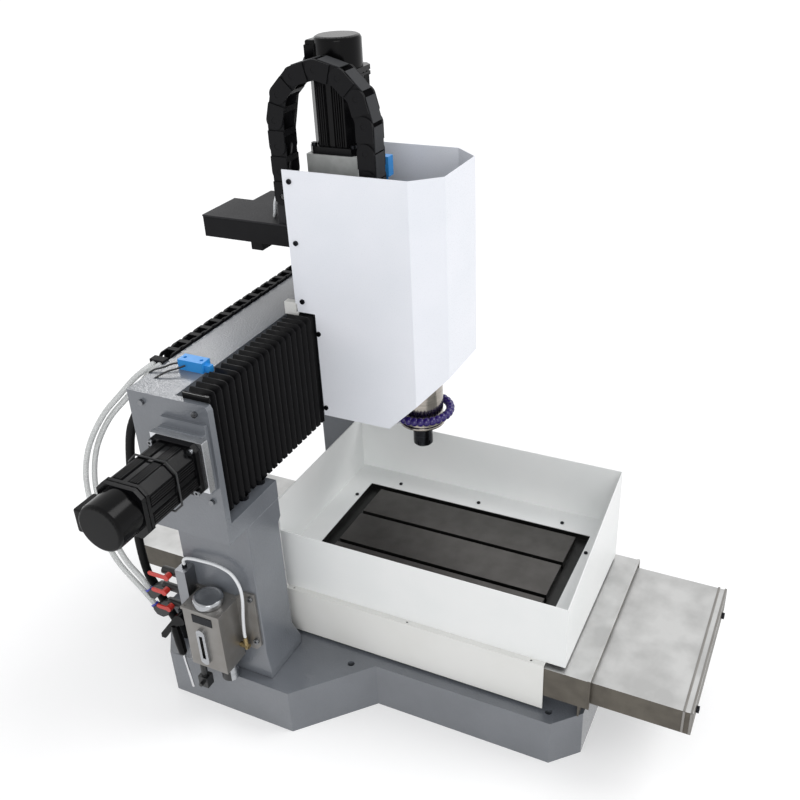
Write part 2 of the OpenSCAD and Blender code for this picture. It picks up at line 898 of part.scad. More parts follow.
// A round tube swept along a list of points
function unit(v) = v / norm(v);
function tangent(p, i) = unit(p[min(i + 1, len(p) - 1)] - p[max(i - 1, 0)]);
function ring_point(centre, t, side, r, angle) =
  let (a = unit(cross(t, side)), b = cross(t, a))
  centre + r * (cos(angle) * a + sin(angle) * b);
function spline(p, i, f) =
  let (
    p0 = p[max(i - 1, 0)],
    p1 = p[i],
    p2 = p[i + 1],
    p3 = p[min(i + 2, len(p) - 1)]
  )
  0.5 * (2 * p1 + (p2 - p0) * f + (2 * p0 - 5 * p1 + 4 * p2 - p3) * f * f
         + (3 * p1 - p0 - 3 * p2 + p3) * f * f * f);
function smooth(p) = concat(
  [for (i = [0 : len(p) - 2], f = [0, 0.5]) spline(p, i, f)],
  [p[len(p) - 1]]
);
module tube(points, r, side = [0.1, 1, 0.05]) {
  path = smooth(points);
  sides = 8;
  last = len(path) - 1;
  rings = [
    for (i = [0 : last], k = [0 : sides - 1])
      ring_point(path[i], tangent(path, i), side, r, k * 360 / sides)
  ];
  walls = [
    for (i = [0 : last - 1], k = [0 : sides - 1])
      let (a = i * sides + k, b = i * sides + (k + 1) % sides)
      [a, b, b + sides, a + sides]
  ];
  start = [[for (k = [sides - 1 : -1 : 0]) k]];
  end = [[for (k = [0 : sides - 1]) last * sides + k]];
  polyhedron(rings, concat(walls, start, end), convexity = 10);
}

module oil_tube() {
  color([0.9, 0.9, 0.9])
    tube(oil_tube_points, 3, [1, 0.02, 0.03]);
}

module coolant_hoses() {
  color([0.85, 0.87, 0.88]) {
    tube(hose_points, 5);
    tube(inner_hose_points, 5);
  }
}

module conduit() {
  color([0.08, 0.08, 0.09])
    tube(conduit_points, 8);
}

// Screws of the beam, the motor plate, the tank and the fixed cover
module frame_screws() {
  color([0.2, 0.2, 0.22]) {
    for (s = [-1, 1], p = [[148, 677], [144, 516], [250, 677], [250, 516]])
      translate([s * beam_end, p[0], p[1]])
        rotate([0, s * 90, 0])
          cylinder(r = 5, h = 5);
    for (sy = [-1, 1], sz = [-1, 1])
      translate([motor_x - 12, x_screw_y + sy * motor_flange * 0.41, x_screw_z + sz * motor_flange * 0.41])
        rotate([0, -90, 0])
          socket_screw(5, 5, 3, 24);
    for (z = ear_z)
      translate([tank_back, ear_y, z])
        rotate([0, -90, 0])
          socket_screw(5.5, 5, 3, 4.9);
    // Bolts that hold the beam's ledges on the columns
    both_sides()
      for (x = [-262, -212])
        translate([x, column_front + 22, column_top + 36])
          socket_screw(9, 8, 6, 0);
    for (s = [-1, 1])
      translate([s * 120, y_motor_y - y_motor_len - motor_cap_len - 9, fixed_side + 20])
        rotate([90, 0, 0])
          socket_screw(6, 5, 2.9, 4);
  }
}

// A red lever that turns on the side of its valve
module valve_lever(y, z, arm) {
  hub_x = valve_x - valve_r - 0.3;
  plate_x = [hub_x - 12, hub_x - 9];
  color([0.78, 0.15, 0.12])
    translate([0, y, z]) {
      rod_x([plate_x[0], hub_x], 0, 0, 6);
      block(plate_x, [0, arm], [-4, 4]);
      rod_x(plate_x, arm, 0, 4);
    }
}

module valve_lever_top() {
  valve_lever(293, valve_z[0], 36);
}

module valve_lever_middle() {
  valve_lever(305, valve_z[1], 24);
}

module valve_lever_low() {
  valve_lever(303, valve_z[2], 22);
}

// Bent arm of the hand pump with its grip and the thin rod below it
module pump_lever() {
  hub_x = manifold_x - 17.3;
  color([0.1, 0.1, 0.11])
    translate([0, pump_y, pump_z]) {
      rod_x([hub_x - 12, hub_x], 0, 0, 11);
      slab_x([hub_x - 10, hub_x - 3], [
        [-6, 9], [8, 8], [52, -50], [53, -60], [44, -60], [18, -24], [-2, -11]
      ]);
      translate([hub_x - 7, 18, -22])
        rotate([174, 0, 0]) {
          rotate_extrude()
            polygon([[0, 0], [6, 0], [8.5, 10], [9, 40], [8, 62], [5, 67], [0, 67]]);
          cylinder(r = 2.5, h = 146);
        }
    }
}

// Slide plate of the head with the seat of the X nut
module x_saddle() {
  color([0.35, 0.37, 0.41])
    difference() {
      union() {
        block([head_x - saddle_half, head_x + saddle_half], [saddle_front, saddle_rear],
              [saddle_low, saddle_top]);
        block([head_x - 26, head_x + 26], [saddle_rear - 1, x_screw_y + 19],
              [x_screw_z - 26, x_screw_z + 26]);
      }
      rod_x([head_x - 27, head_x + 27], x_screw_y, x_screw_z, nut_d / 2);
      block([head_x - 36, head_x - 26], [saddle_rear - 11, saddle_rear + 1],
            [x_screw_z - 26, x_screw_z + 26]);
    }
}

module x_runners() {
  color([0.6, 0.61, 0.63]) {
    for (s = [-1, 1], e = [-1, 1])
      translate([head_x + e * (saddle_half - block_len / 2 - 0.5), x_rail_y,
                 x_screw_z + s * x_rail_gap / 2])
        rotate([90, 0, 0])
          guide_block();
    translate([head_x - 26, x_screw_y, x_screw_z])
      ball_nut(50);
  }
}

// Channel casting that carries the Z rails and the bearings of the Z screw
module z_housing() {
  half = head_half;
  wall = rail_w / 2 + 6;
  bore = journal_d / 2 + run_gap;
  rail_x = z_rail_gap / 2;
  color([0.38, 0.4, 0.44])
    difference() {
      union() {
        block([head_x - half, head_x + half], [channel_floor, saddle_front],
              [housing_low, housing_top]);
        for (s = [-1, 1]) {
          block([head_x + s * rail_x - wall, head_x + s * rail_x + wall], [z_rail_y, saddle_front],
                [housing_low, housing_top]);
          block([head_x + s * (half - 9) - 9, head_x + s * (half - 9) + 9],
                [saddle_front - 28, saddle_front], [housing_low, housing_top]);
        }
        // Bearing walls across the channel
        block([head_x - rail_x, head_x + rail_x], [z_rail_y, saddle_front],
              [housing_low, housing_low + 22]);
        block([head_x - rail_x, head_x + rail_x], [z_rail_y, saddle_front],
              [housing_top - 34, housing_top]);
        // Upper block that reaches back over the beam
        slab_x([head_x - half, head_x + half], [
          [saddle_front - 1, saddle_top + 6], [head_rear - 4, saddle_top + 6],
          [head_rear - 4, housing_top - 42], [head_rear - 16, housing_top],
          [saddle_front - 1, housing_top]
        ]);
        // Lugs behind the cover's top screws
        for (s = [-1, 1])
          block([head_x + s * (half - 9) - 9, head_x + s * (half - 9) + 9],
                [saddle_front, head_rear - 5], [housing_top - 44, housing_top + 12]);
      }
      rod_z(head_x, z_screw_y, [housing_low - 1, housing_top + 1], bore);
      for (s = [-1, 1], z = z_cover_screws())
        rod_x(s > 0 ? [head_x + half - 8, head_x + half + 1] : [head_x - half - 1, head_x - half + 8],
              z[0], z[1], 2.2);
    }
}

// Side screws of the cover as (y, z)
function z_cover_screws() = [
  [column_front + 27, 940], [column_front + 26, 834], [column_front + 25, 727],
  [saddle_front - 4, 669], [saddle_front - 5, 519]
];

module z_rails() {
  color([0.75, 0.76, 0.78])
    for (s = [-1, 1])
      translate([head_x + s * z_rail_gap / 2, z_rail_y, housing_low + 4])
        rotate([90, -90, 0])
          guide_rail(392);
}

module z_motor_mount() {
  half = motor_flange / 2 + 2.5;
  color([0.78, 0.79, 0.8])
    difference() {
      block([head_x - half, head_x + half], [z_screw_y - half, z_screw_y + half],
            [housing_top, mount_top]);
      rod_z(head_x, z_screw_y, [housing_top - 1, mount_top + 1], coupling_d / 2 + 3);
      for (sx = [-1, 1], sy = [-1, 1])
        rod_z(head_x + sx * motor_flange * 0.41, z_screw_y + sy * motor_flange * 0.41,
              [mount_top - 14, mount_top + 1], 3);
      block([head_x - 12, head_x + 12], [z_screw_y - half - 1, z_screw_y - 15],
            [housing_top + 6, mount_top - 8]);
    }
}

module z_motor() {
  color([0.14, 0.14, 0.15])
    translate([head_x, z_screw_y, mount_top])
      motor_case(motor_len);
}

module z_motor_cap() {
  color([0.09, 0.09, 0.1])
    translate([head_x, z_screw_y, mount_top + motor_len])
      rotate([0, 0, 20])
        motor_cap(motor_cap_len);
}

// Plan of the cover as (x from the head's middle, y), open at the back
function cover_plan(inset, rear) = let (
    half = cover_w / 2 - inset,
    front = head_front + inset,
    corner_x = 41,
    corner_y = 46,
    cut = inset * 0.42
  ) [
    [-half, rear], [-half, front + corner_y - inset + cut], [corner_x - half - inset + cut, front],
    [half - corner_x + inset - cut, front], [half, front + corner_y - inset + cut], [half, rear]
  ];

module z_cover() {
  slope_y = column_front - 132;
  color([0.92, 0.93, 0.94])
    difference() {
      intersection() {
        translate([head_x, 0, cover_low])
          linear_extrude(cover_top - cover_low)
            difference() {
              polygon(cover_plan(0, head_rear));
              polygon(cover_plan(cover_t, head_rear + 1));
            }
        // Side outline: sloped lower front edge and the step behind
        slab_x([head_x - cover_w, head_x + cover_w], [
          [head_front - 1, cover_top + 1], [head_front - 1, cover_low + slope_y - head_front + 1],
          [slope_y, cover_low], [saddle_front, cover_low], [saddle_front, saddle_top + 8],
          [head_rear + 1, saddle_top + 8], [head_rear + 1, cover_top + 1]
        ]);
      }
      for (s = [-1, 1], p = z_cover_screws())
        rod_x([head_x + s * (head_half + 1) - 3, head_x + s * (head_half + 1) + 3], p[0], p[1], 2.4);
    }
}

module cable_box() {
  y0 = head_rear - 4;
  left = head_x - 91;
  chain_end = x_chain_x - x_last * x_pitch - x_chain_h / 2 - 0.3;
  color([0.1, 0.1, 0.11]) {
    difference() {
      linear_extrude_at(box_low, box_top, box_plan(left, y0, 0));
      linear_extrude_at(box_low + 2, box_top + 1, box_plan(left, y0, 2));
      rod_y(head_x + 30, [y0 - 1, y0 + 3], box_low + 20, 8);
    }
    // Hanger of the X cable chain
    block([chain_end - 35, chain_end], [x_chain_y, x_chain_y + x_chain_w],
          [x_chain_z + 2 * x_chain_r - x_chain_h / 2, box_low + 1]);
  }
}

// Plan of the cable box with its stepped far corner
function box_plan(left, front, inset) = [
  [left + inset, front + inset], [left + 161 - inset, front + inset],
  [left + 161 - inset, front + 147 - inset], [left + 101 - inset, front + 147 - inset],
  [left + 101 - inset, front + 188 - inset], [left + inset, front + 188 - inset]
];

module linear_extrude_at(low, high, points) {
  translate([0, 0, low])
    linear_extrude(high - low)
      polygon(points);
}

module cable_box_lid() {
  y0 = head_rear - 4;
  left = head_x - 91;
  foot_y = z_chain_y - z_chain_h / 2;
  color([0.12, 0.12, 0.13]) {
    linear_extrude_at(box_top, box_top + 3, box_plan(left - 2, y0, 0));
    // Foot of the Z cable chain
    block([z_chain_x + 4, z_chain_x + z_chain_w - 4], [foot_y, foot_y + z_chain_h],
          [box_top + 2, z_chain_z - z_first * z_pitch - z_chain_h / 2]);
  }
}

module z_limit_switch() {
  y1 = z_screw_y - motor_flange / 2 - 2.5;
  color([0.1, 0.35, 0.7]) {
    block([head_x + 24, head_x + 42], [y1 - 20, y1], [housing_top - 18, mount_top - 16]);
    rod_z(head_x + 33, y1 - 10, [housing_top - 26, housing_top - 17], 4);
  }
}

// Button screws of the cover and the screws of the Z motor
module head_screws() {
  color([0.15, 0.15, 0.17]) {
    for (s = [-1, 1], p = z_cover_screws())
      translate([head_x + s * cover_w / 2, p[0], p[1]])
        rotate([0, s * 90, 0])
          socket_screw(4.5, 2.5, 2, 8);
    for (sx = [-1, 1], sy = [-1, 1])
      translate([head_x + sx * motor_flange * 0.41, z_screw_y + sy * motor_flange * 0.41, mount_top + 12])
        socket_screw(5, 5, 2.9, 22);
  }
}

// Front plate of the Z axis with the nut bracket and the foot of the cable chain
module z_slide() {
  low = 560;
  high = 830;
  chain_low = z_chain_z - z_last * z_pitch - z_chain_h / 2;
  chain_y = z_chain_y - 2 * z_chain_r - z_chain_h / 2;
  color([0.55, 0.56, 0.58])
    difference() {
      union() {
        block([head_x - 75, head_x + 75], [z_plate_front, z_plate_rear], [low, high]);
        block([head_x - 24, head_x + 24], [z_plate_rear - 1, z_screw_y + 15], [700, 744]);
        block([z_chain_x + 4, z_chain_x + z_chain_w - 4], [chain_y, z_plate_front + 1],
              [chain_low - 14, chain_low]);
      }
      rod_z(head_x, z_screw_y, [699, 745], nut_d / 2 - 1.5);
    }
}

module z_runners() {
  color([0.6, 0.61, 0.63]) {
    for (s = [-1, 1], z = [672, 780])
      translate([head_x + s * z_rail_gap / 2, z_rail_y, z])
        rotate([90, -90, 0])
          guide_block();
    difference() {
      rod_z(head_x, z_screw_y, [700, 752], nut_d / 2 - 1.5);
      rod_z(head_x, z_screw_y, [699, 753], screw_d / 2 + run_gap);
    }
  }
}

module spindle_clamp() {
  half = 50;
  front = spindle_y - spindle_d / 2 - 13;
  color([0.45, 0.46, 0.49])
    difference() {
      linear_extrude_at(clamp_low, clamp_high, [
        [head_x - half, z_plate_front], [head_x - half, spindle_y - 10],
        [head_x - half + 22, front], [head_x + half - 22, front],
        [head_x + half, spindle_y - 10], [head_x + half, z_plate_front]
      ]);
      rod_z(head_x, spindle_y, [clamp_low - 1, clamp_high + 1], spindle_d / 2);
      block([head_x + spindle_d / 2 - 2, head_x + half + 1], [spindle_y - 1.5, spindle_y + 1.5],
            [clamp_low - 1, clamp_high + 1]);
    }
}

module spindle_body() {
  top = spindle_low + spindle_len;
  color([0.75, 0.74, 0.73])
    difference() {
      translate([head_x, spindle_y, 0])
        rotate_extrude()
          polygon([
            [0, spindle_low - 6], [26, spindle_low - 8], [43, spindle_low - 4], [43, spindle_low],
            [spindle_d / 2, spindle_low + 2], [spindle_d / 2, top - 2], [spindle_d / 2 - 2, top],
            [14, top], [14, top + 16], [0, top + 16]
          ]);
      rod_z(head_x, spindle_y, [spindle_low - 20, spindle_low + 60], 12 + run_gap);
    }
}

// One bead of the jointed coolant line, along Z
module coolant_bead(r, half) {
  neck = r * 0.6;
  rotate_extrude()
    polygon([[0, -half], [neck, -half], [r, -2.5], [r, 2.5], [neck, half], [0, half]]);
}

// Ring of coolant beads round the spindle with its riser up to the clamp
module coolant_ring() {
  ring_r = 55;
  ring_z = spindle_low + 22;
  bead_r = 6.3;
  beads = 28;
  turn = 11 * 360 / beads;
  risers = 7;
  step = (clamp_low - ring_z - bead_r) / risers;
  color([0.15, 0.08, 0.42])
    translate([head_x, spindle_y, ring_z]) {
      for (i = [0 : beads - 1])
        rotate([0, 0, i * 360 / beads])
          translate([ring_r, 0, 0])
            rotate([90, 0, 0])
              coolant_bead(bead_r, 5.6);
      for (i = [1 : risers])
        translate([ring_r * cos(turn), ring_r * sin(turn), i * step])
          coolant_bead(bead_r, 6.3);
    }
}

// Shaft and collet nut with the tool's bore
module spindle_rotor() {
  r = collet_nut_d / 2;
  color([0.2, 0.21, 0.22])
    translate([head_x, spindle_y, 0])
      difference() {
        union() {
          rotate_extrude()
            polygon([
              [0, nose_z], [r - 3, nose_z], [r, nose_z + 3], [r, nose_z + 40], [r - 1.5, nose_z + 42],
              [12, nose_z + 42], [12, spindle_low + 56], [0, spindle_low + 56]
            ]);
        }
        translate([0, 0, nose_z - 1])
          cylinder(r = tool_d / 2, h = 31);
        for (i = [0 : 5])
          rotate([0, 0, i * 60])
            block([r - 2, r + 2], [-3, 3], [nose_z - 1, nose_z + 12]);
      }
}

// Cast slide under the table with the seat of the Y nut
module y_saddle() {
  half = skirt_w / 2 - 4;
  low_half = y_rail_gap / 2 + block_w / 2 + 4;
  nut_y = -123;
  color([0.36, 0.38, 0.42])
    difference() {
      union() {
        slab_y([y_saddle_front, y_saddle_rear], [
          [-low_half, saddle_bottom], [low_half, saddle_bottom], [low_half, saddle_bottom + 22],
          [half, saddle_bottom + 30], [half, ledge_z], [-half, ledge_z],
          [-half, saddle_bottom + 30], [-low_half, saddle_bottom + 22]
        ]);
        block([-26, 26], [nut_y - 20, nut_y + 20], [y_screw_z - 19, saddle_bottom + 1]);
      }
      rod_y(0, [nut_y - 31, nut_y + 21], y_screw_z, nut_d / 2);
      block([-26, 26], [nut_y - 32, nut_y - 20], [saddle_bottom - 1, y_screw_z + nut_d * 0.76 + 1]);
    }
}

module y_runners() {
  nut_y = -123;
  color([0.6, 0.61, 0.63]) {
    for (s = [-1, 1], e = [-1, 1])
      translate([s * y_rail_gap / 2, nut_y + e * 75, y_rail_z])
        rotate([0, 0, 90])
          guide_block();
    translate([0, nut_y - 20, y_screw_z])
      rotate([0, 0, 90])
        ball_nut(40);
  }
}

// Cast table: slab, gutter, rim and the top with its two undercut slots
module t_slot_table() {
  front = tray_front + 7;
  rear = tray_rear - 18;
  color([0.3, 0.3, 0.29])
    difference() {
      union() {
        block([-rim_x, rim_x], [front, rear], [slab_low, rim_top]);
        block([table_left, table_right], [table_front, table_rear], [slab_low, table_z]);
        for (x = [-118, -44, 30, 104])
          block([x, x + 14], [y_saddle_front, y_saddle_rear], [ledge_z, slab_low + 1]);
        for (y = [y_saddle_front, y_saddle_rear - 14])
          block([-118, 118], [y, y + 14], [ledge_z, slab_low + 1]);
      }
      difference() {
        block([gutter_left, gutter_right], [gutter_front, gutter_rear],
              [table_z - gutter_d, table_z + 1]);
        block([table_left, table_right], [table_front, table_rear],
              [table_z - gutter_d - 1, table_z + 2]);
      }
      for (x = slot_places) {
        block([x - slot_w / 2, x + slot_w / 2], [table_front - 1, table_rear + 1],
              [table_z - 12, table_z + 1]);
        block([x - slot_under_w / 2, x + slot_under_w / 2], [table_front - 1, table_rear + 1],
              [table_z - 19, table_z - 11]);
      }
    }
}

module chip_tray() {
  color([0.93, 0.94, 0.94])
    difference() {
      union() {
        difference() {
          slab_y([tray_front, tray_rear], [
            [-tray_half, ledge_z + ledge_t], [-tray_half, tray_high], [tray_half, tray_high],
            [tray_half, ledge_z + ledge_t]
          ]);
          block([tray_t - tray_half, tray_half - tray_t], [tray_front + tray_t, tray_rear - tray_t],
                [ledge_z, tray_high + 1]);
          // The near wall is low and the front wall slopes up to the far one
          block([-tray_half - 1, tray_t - tray_half], [tray_front - 1, tray_rear - tray_t],
                [tray_low, tray_high + 1]);
          slab_y([tray_front - 1, tray_front + tray_t], [
            [-tray_half - 1, tray_low], [-tray_half - 1, tray_high + 1], [tray_half, tray_high + 1],
            [tray_half, tray_high]
          ]);
        }
        block([-tray_half + 1, tray_half - 1], [tray_front + 1, tray_rear - 1],
              [rim_top, table_z]);
      }
      block([gutter_left, gutter_right], [gutter_front, gutter_rear], [rim_top - 1, table_z + 1]);
    }
}

// Side skirts that hang from the ledge under the tray
module skirts() {
  half = skirt_w / 2;
  color([0.9, 0.91, 0.92])
    both_sides()
      difference() {
        slab_y([tray_front + 34, tray_rear - 5], [
          [-half, base_h + 6], [-half, ledge_z + ledge_t], [-half + 43, ledge_z + ledge_t],
          [-half + 43, ledge_z], [-half + 2, ledge_z], [-half + 2, base_h + 6]
        ]);
        for (y = [-334, -101, 136])
          rod_z(-half + 6, y, [ledge_z - 1, ledge_z + ledge_t + 1], 2.2);
      }
}

module outer_covers() {
  half = outer_cover_w / 2;
  color([0.62, 0.6, 0.57]) {
    way_section(half, outer_cover_z, outer_side, [-438, y_saddle_front], true, true);
    way_section(half, outer_cover_z, outer_side, [y_saddle_rear, 190], false, true);
  }
}

module front_cover_middle() {
  color([0.62, 0.6, 0.57])
    way_section(mid_cover_w / 2, mid_cover_z, mid_side, [-436, -276], true, false);
}

module rear_cover_middle() {
  color([0.62, 0.6, 0.57])
    way_section(mid_cover_w / 2, mid_cover_z, mid_side, [140, 300], false, false);
}

module x_screw() {
  length = 2 * (x_journal - bearing_t);
  color([0.72, 0.73, 0.75])
    translate([-length / 2, x_screw_y, x_screw_z]) {
      ball_screw(length, bearing_t - 1);
      // Shaft through the end plate, coupling and motor shaft
      rod_x([-bearing_t - 8, 0], 0, 0, journal_d / 2);
      translate([-bearing_t - coupling_len - 6, 0, 0])
        coupling(coupling_len);
      rod_x([-bearing_t - coupling_len - 30, -bearing_t - coupling_len - 5], 0, 0, 7);
    }
}

module y_screw() {
  length = base_len - 2 * bearing_t;
  color([0.72, 0.73, 0.75])
    translate([0, base_front + bearing_t, y_screw_z])
      rotate([0, 0, 90]) {
        ball_screw(length, bearing_t - 1);
        rod_x([-bearing_t - 30, 0], 0, 0, journal_d / 2);
      }
}

module z_screw() {
  low = housing_low + 22;
  length = housing_top - 34 - low;
  color([0.72, 0.73, 0.75])
    translate([head_x, z_screw_y, low])
      rotate([0, -90, 0]) {
        ball_screw(length, 20);
        rod_x([length, length + 40], 0, 0, journal_d / 2);
        translate([length + 36, 0, 0])
          coupling(24);
        rod_x([length + 59, length + 82], 0, 0, 7);
      }
}

// Zigzag line from x0 to x1 that swings between two levels
function zigzag(x0, x1, folds, level, depth) = [
  for (i = [0 : 2 * folds]) [x0 + (x1 - x0) * i / (2 * folds), level + (i % 2) * depth]
];
function reversed(p) = [for (i = [len(p) - 1 : -1 : 0]) p[i]];

// Pleated apron over the front, top and bottom of the X ways
module bellows_shape(x0, x1, folds, skin) {
  front = column_front + 6 + skin;
  low = column_top + 47 + skin;
  high = beam_top + 10 - skin;
  deep = 12;
  back = web_front - 17 + skin;
  intersection() {
    translate([0, 0, low - 1])
      linear_extrude(high - low + 2)
        polygon(concat(zigzag(x0, x1, folds, front, deep), [[x1, back], [x0, back]]));
    slab_y([front - 1, back + 1], concat(
      zigzag(x0, x1, folds, low, deep), reversed(zigzag(x0, x1, folds, high, -deep))
    ));
  }
}

module bellows_side(x0, x1, folds) {
  difference() {
    bellows_shape(x0, x1, folds, 0);
    bellows_shape(x0 - 0.001, x1 + 0.001, folds, 3);
  }
}

module bellows() {
  wall_x = beam_end - end_plate_t;
  folds = 18;
  color([0.06, 0.06, 0.07]) {
    bellows_side(-wall_x, head_x - saddle_half, folds);
    bellows_side(head_x + saddle_half, wall_x, folds);
  }
}

// Joint i of a chain: a first run along +u, a half turn, then back along -u
function chain_joint(i, first, bend, pitch, r) =
  i <= first ? [(i - first) * pitch, 0]
  : i <= first + bend ? let (a = (i - first) * 180 / bend - 90) [r * cos(a), r + r * sin(a)]
  : [(first + bend - i) * pitch, 2 * r];

// One link from 0 to its pitch along X: side plates step inwards so that it nests in the next,
// with short bars across and a long lid on the outer side where it has one
module chain_link(pitch, height, width, lid) {
  plate = 2.4;
  r = height / 2;
  pin_r = height * 0.16;
  for (side = [0, 1])
    translate([0, 0, side * width])
      mirror([0, 0, side]) {
        difference() {
          union() {
            cylinder(r = r, h = plate);
            translate([0, -r, 0])
              cube([pitch / 2 + 4, height, plate]);
            translate([pitch / 2 - 4, -r, 0.01])
              cube([8, height, 2 * plate + 0.2]);
            translate([pitch / 2 - 4, -r, plate + 0.2])
              cube([pitch / 2 + 4, height, plate]);
            translate([pitch, 0, plate + 0.2])
              cylinder(r = r, h = plate);
            translate([pitch, 0, 0.3])
              cylinder(r = pin_r, h = plate + 0.1);
          }
          translate([0, 0, -1])
            cylinder(r = pin_r + 0.2, h = plate + 1.05);
          translate([pitch / 2 + 4.2, -r - 1, -1])
            difference() {
              cube([pitch, height + 2, plate + 1.1]);
              translate([pitch / 2 - 4.2, r + 1, 0])
                cylinder(r = pin_r, h = 10);
            }
        }
      }
  for (v = [-r, r - 2.5])
    translate([pitch / 2 - 5, v, plate])
      cube([10, 2.5, width - 2 * plate]);
  if (lid > 0)
    translate([(pitch - lid) / 2, -r, 2 * plate + 0.4])
      cube([lid, 2.5, width - 4 * plate - 0.8]);
}

module chain(first, bend, last, pitch, height, width, lid) {
  r = pitch / 2 / sin(90 / bend);
  for (i = [0 : first + bend + last - 1]) {
    a = chain_joint(i, first, bend, pitch, r);
    b = chain_joint(i + 1, first, bend, pitch, r);
    translate([a[0], a[1], 0])
      rotate([0, 0, atan2(b[1] - a[1], b[0] - a[0])])
        chain_link(pitch, height, width, lid);
  }
}

module x_chain() {
  color([0.08, 0.08, 0.09])
    translate([x_chain_x, x_chain_y + x_chain_w, x_chain_z])
      rotate([90, 0, 0])
        chain(x_first, x_bend, x_last, x_pitch, x_chain_h, x_chain_w, 0);
}

module z_chain() {
  color([0.08, 0.08, 0.09])
    translate([z_chain_x, z_chain_y, z_chain_z])
      rotate([0, -90, 180])
        chain(z_first, z_bend, z_last, z_pitch, z_chain_h, z_chain_w, z_pitch * 0.8);
}

base_casting();
left_column();
right_column();
cross_beam();
linear_rails();
screw_supports();
x_motor_plate();
x_motor();
x_motor_cap();
y_motor();
x_limit_switch();
chain_shelf();
fixed_covers();
oil_tank();
tank_lid();
tank_cap();
sight_glass();
oil_fittings();
oil_tube();
manifold_block();
hose_elbows();
coolant_hoses();
conduit();
frame_screws();
valve_lever_top();
valve_lever_middle();
valve_lever_low();
pump_lever();
x_saddle();
x_runners();
z_housing();
z_rails();
z_motor_mount();
z_motor();
z_motor_cap();
z_cover();
cable_box();
cable_box_lid();
z_limit_switch();
head_screws();
z_slide();
z_runners();
spindle_clamp();
spindle_body();
coolant_ring();
spindle_rotor();
y_saddle();
y_runners();
t_slot_table();
chip_tray();
skirts();
outer_covers();
front_cover_middle();
rear_cover_middle();
x_screw();
y_screw();
z_screw();
bellows();
x_chain();
z_chain();
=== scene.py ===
# %% [markdown]
# # A bench engraving machine, dressed for its portrait
# The solids come from the CAD model and stay where they are. This script gives each of them its
# finish, replaces the parts that bend (hoses, bellows, cable chains) by pieces of its own, and adds
# the small things that a solid model leaves out: fins, straps, plates, wires and screws. Lengths
# are in millimetres until a helper turns them into Blender's metres.

# %% Start
import json
import math

import bmesh
import bpy
from mathutils import Matrix, Vector

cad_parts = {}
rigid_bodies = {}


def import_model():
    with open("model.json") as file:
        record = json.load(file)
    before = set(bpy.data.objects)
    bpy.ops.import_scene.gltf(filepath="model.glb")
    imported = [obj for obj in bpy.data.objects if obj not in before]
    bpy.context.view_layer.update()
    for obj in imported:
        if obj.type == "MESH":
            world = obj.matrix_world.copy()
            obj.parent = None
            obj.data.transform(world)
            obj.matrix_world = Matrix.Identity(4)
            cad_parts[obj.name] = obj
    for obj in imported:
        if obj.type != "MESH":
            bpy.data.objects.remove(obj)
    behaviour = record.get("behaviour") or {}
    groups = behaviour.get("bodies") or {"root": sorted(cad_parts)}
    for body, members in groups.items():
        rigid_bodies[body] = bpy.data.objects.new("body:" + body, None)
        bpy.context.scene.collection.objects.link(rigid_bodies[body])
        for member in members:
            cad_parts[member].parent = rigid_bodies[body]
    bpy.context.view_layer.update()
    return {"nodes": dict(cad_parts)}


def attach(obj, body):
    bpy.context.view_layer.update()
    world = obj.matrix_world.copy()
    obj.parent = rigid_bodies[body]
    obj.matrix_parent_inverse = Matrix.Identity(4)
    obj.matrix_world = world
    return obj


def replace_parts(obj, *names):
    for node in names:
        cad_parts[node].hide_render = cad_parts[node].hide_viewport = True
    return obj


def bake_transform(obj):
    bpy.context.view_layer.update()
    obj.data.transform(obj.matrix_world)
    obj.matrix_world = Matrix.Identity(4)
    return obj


for old in list(bpy.data.objects):
    bpy.data.objects.remove(old)
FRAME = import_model()
CAD = FRAME["nodes"]
MM = 0.001
print("solids:", len(CAD))

# %% [markdown]
# ## Camera
# The photograph was taken standing at the operator's left, looking down at about thirty degrees.
# The lens and the three directions below were solved from the machine's straight edges, so that
# the render and the photograph can be laid over each other.

# %% Camera
IMAGE_SIDE = 800
FOCAL_PIXELS = 938.95
SENSOR = 36.0
CAMERA_PLACE = Vector((-1.2868, -0.6906, 1.3810))
CAMERA_RIGHT = Vector((0.4373, -0.8982, -0.0447))
CAMERA_DOWN = Vector((-0.4623, -0.1819, -0.8679))
CAMERA_FORWARD = Vector((0.7714, 0.4002, -0.4947))

lens = bpy.data.cameras.new("camera")
lens.sensor_width = SENSOR
lens.lens = FOCAL_PIXELS / IMAGE_SIDE * SENSOR
lens.clip_end = 60
camera = bpy.data.objects.new("camera", lens)
bpy.context.scene.collection.objects.link(camera)
turn = Matrix((CAMERA_RIGHT, -CAMERA_DOWN, -CAMERA_FORWARD)).transposed()
camera.matrix_world = Matrix.Translation(CAMERA_PLACE) @ turn.to_4x4()
bpy.context.scene.camera = camera
print("lens:", round(lens.lens, 2), "mm")

# %% [markdown]
# ## Helpers for materials
# A colour is written as it looks on a screen, as a hex value, and one function turns it into the
# linear light that Blender mixes. Every finish here is made the same way: slow clouds shift its
# colour, and a finer grain lifts it a little and changes its gloss. Where a cutter or a wheel
# worked the surface, the grain is drawn out that way. Both read Object coordinates in real sizes.


# %% Material helpers
def linear(hex_colour):
    """The linear colour of an sRGB hex value such as "#6f747f"."""
    parts = [int(hex_colour[i : i + 2], 16) / 255 for i in (1, 3, 5)]
    bent = [p / 12.92 if p <= 0.04045 else ((p + 0.055) / 1.055) ** 2.4 for p in parts]
    return (*bent, 1.0)


def add_node(tree, kind, links=(), **settings):
    """Adds a node. A setting is an attribute or an input's name; links are (output, input)."""
    made = tree.nodes.new(kind)
    for name, value in settings.items():
        if hasattr(made, name):
            setattr(made, name, value)
        else:
            made.inputs[name.replace("_", " ")].default_value = value
    for source, target in links:
        tree.links.new(source, made.inputs[target])
    return made


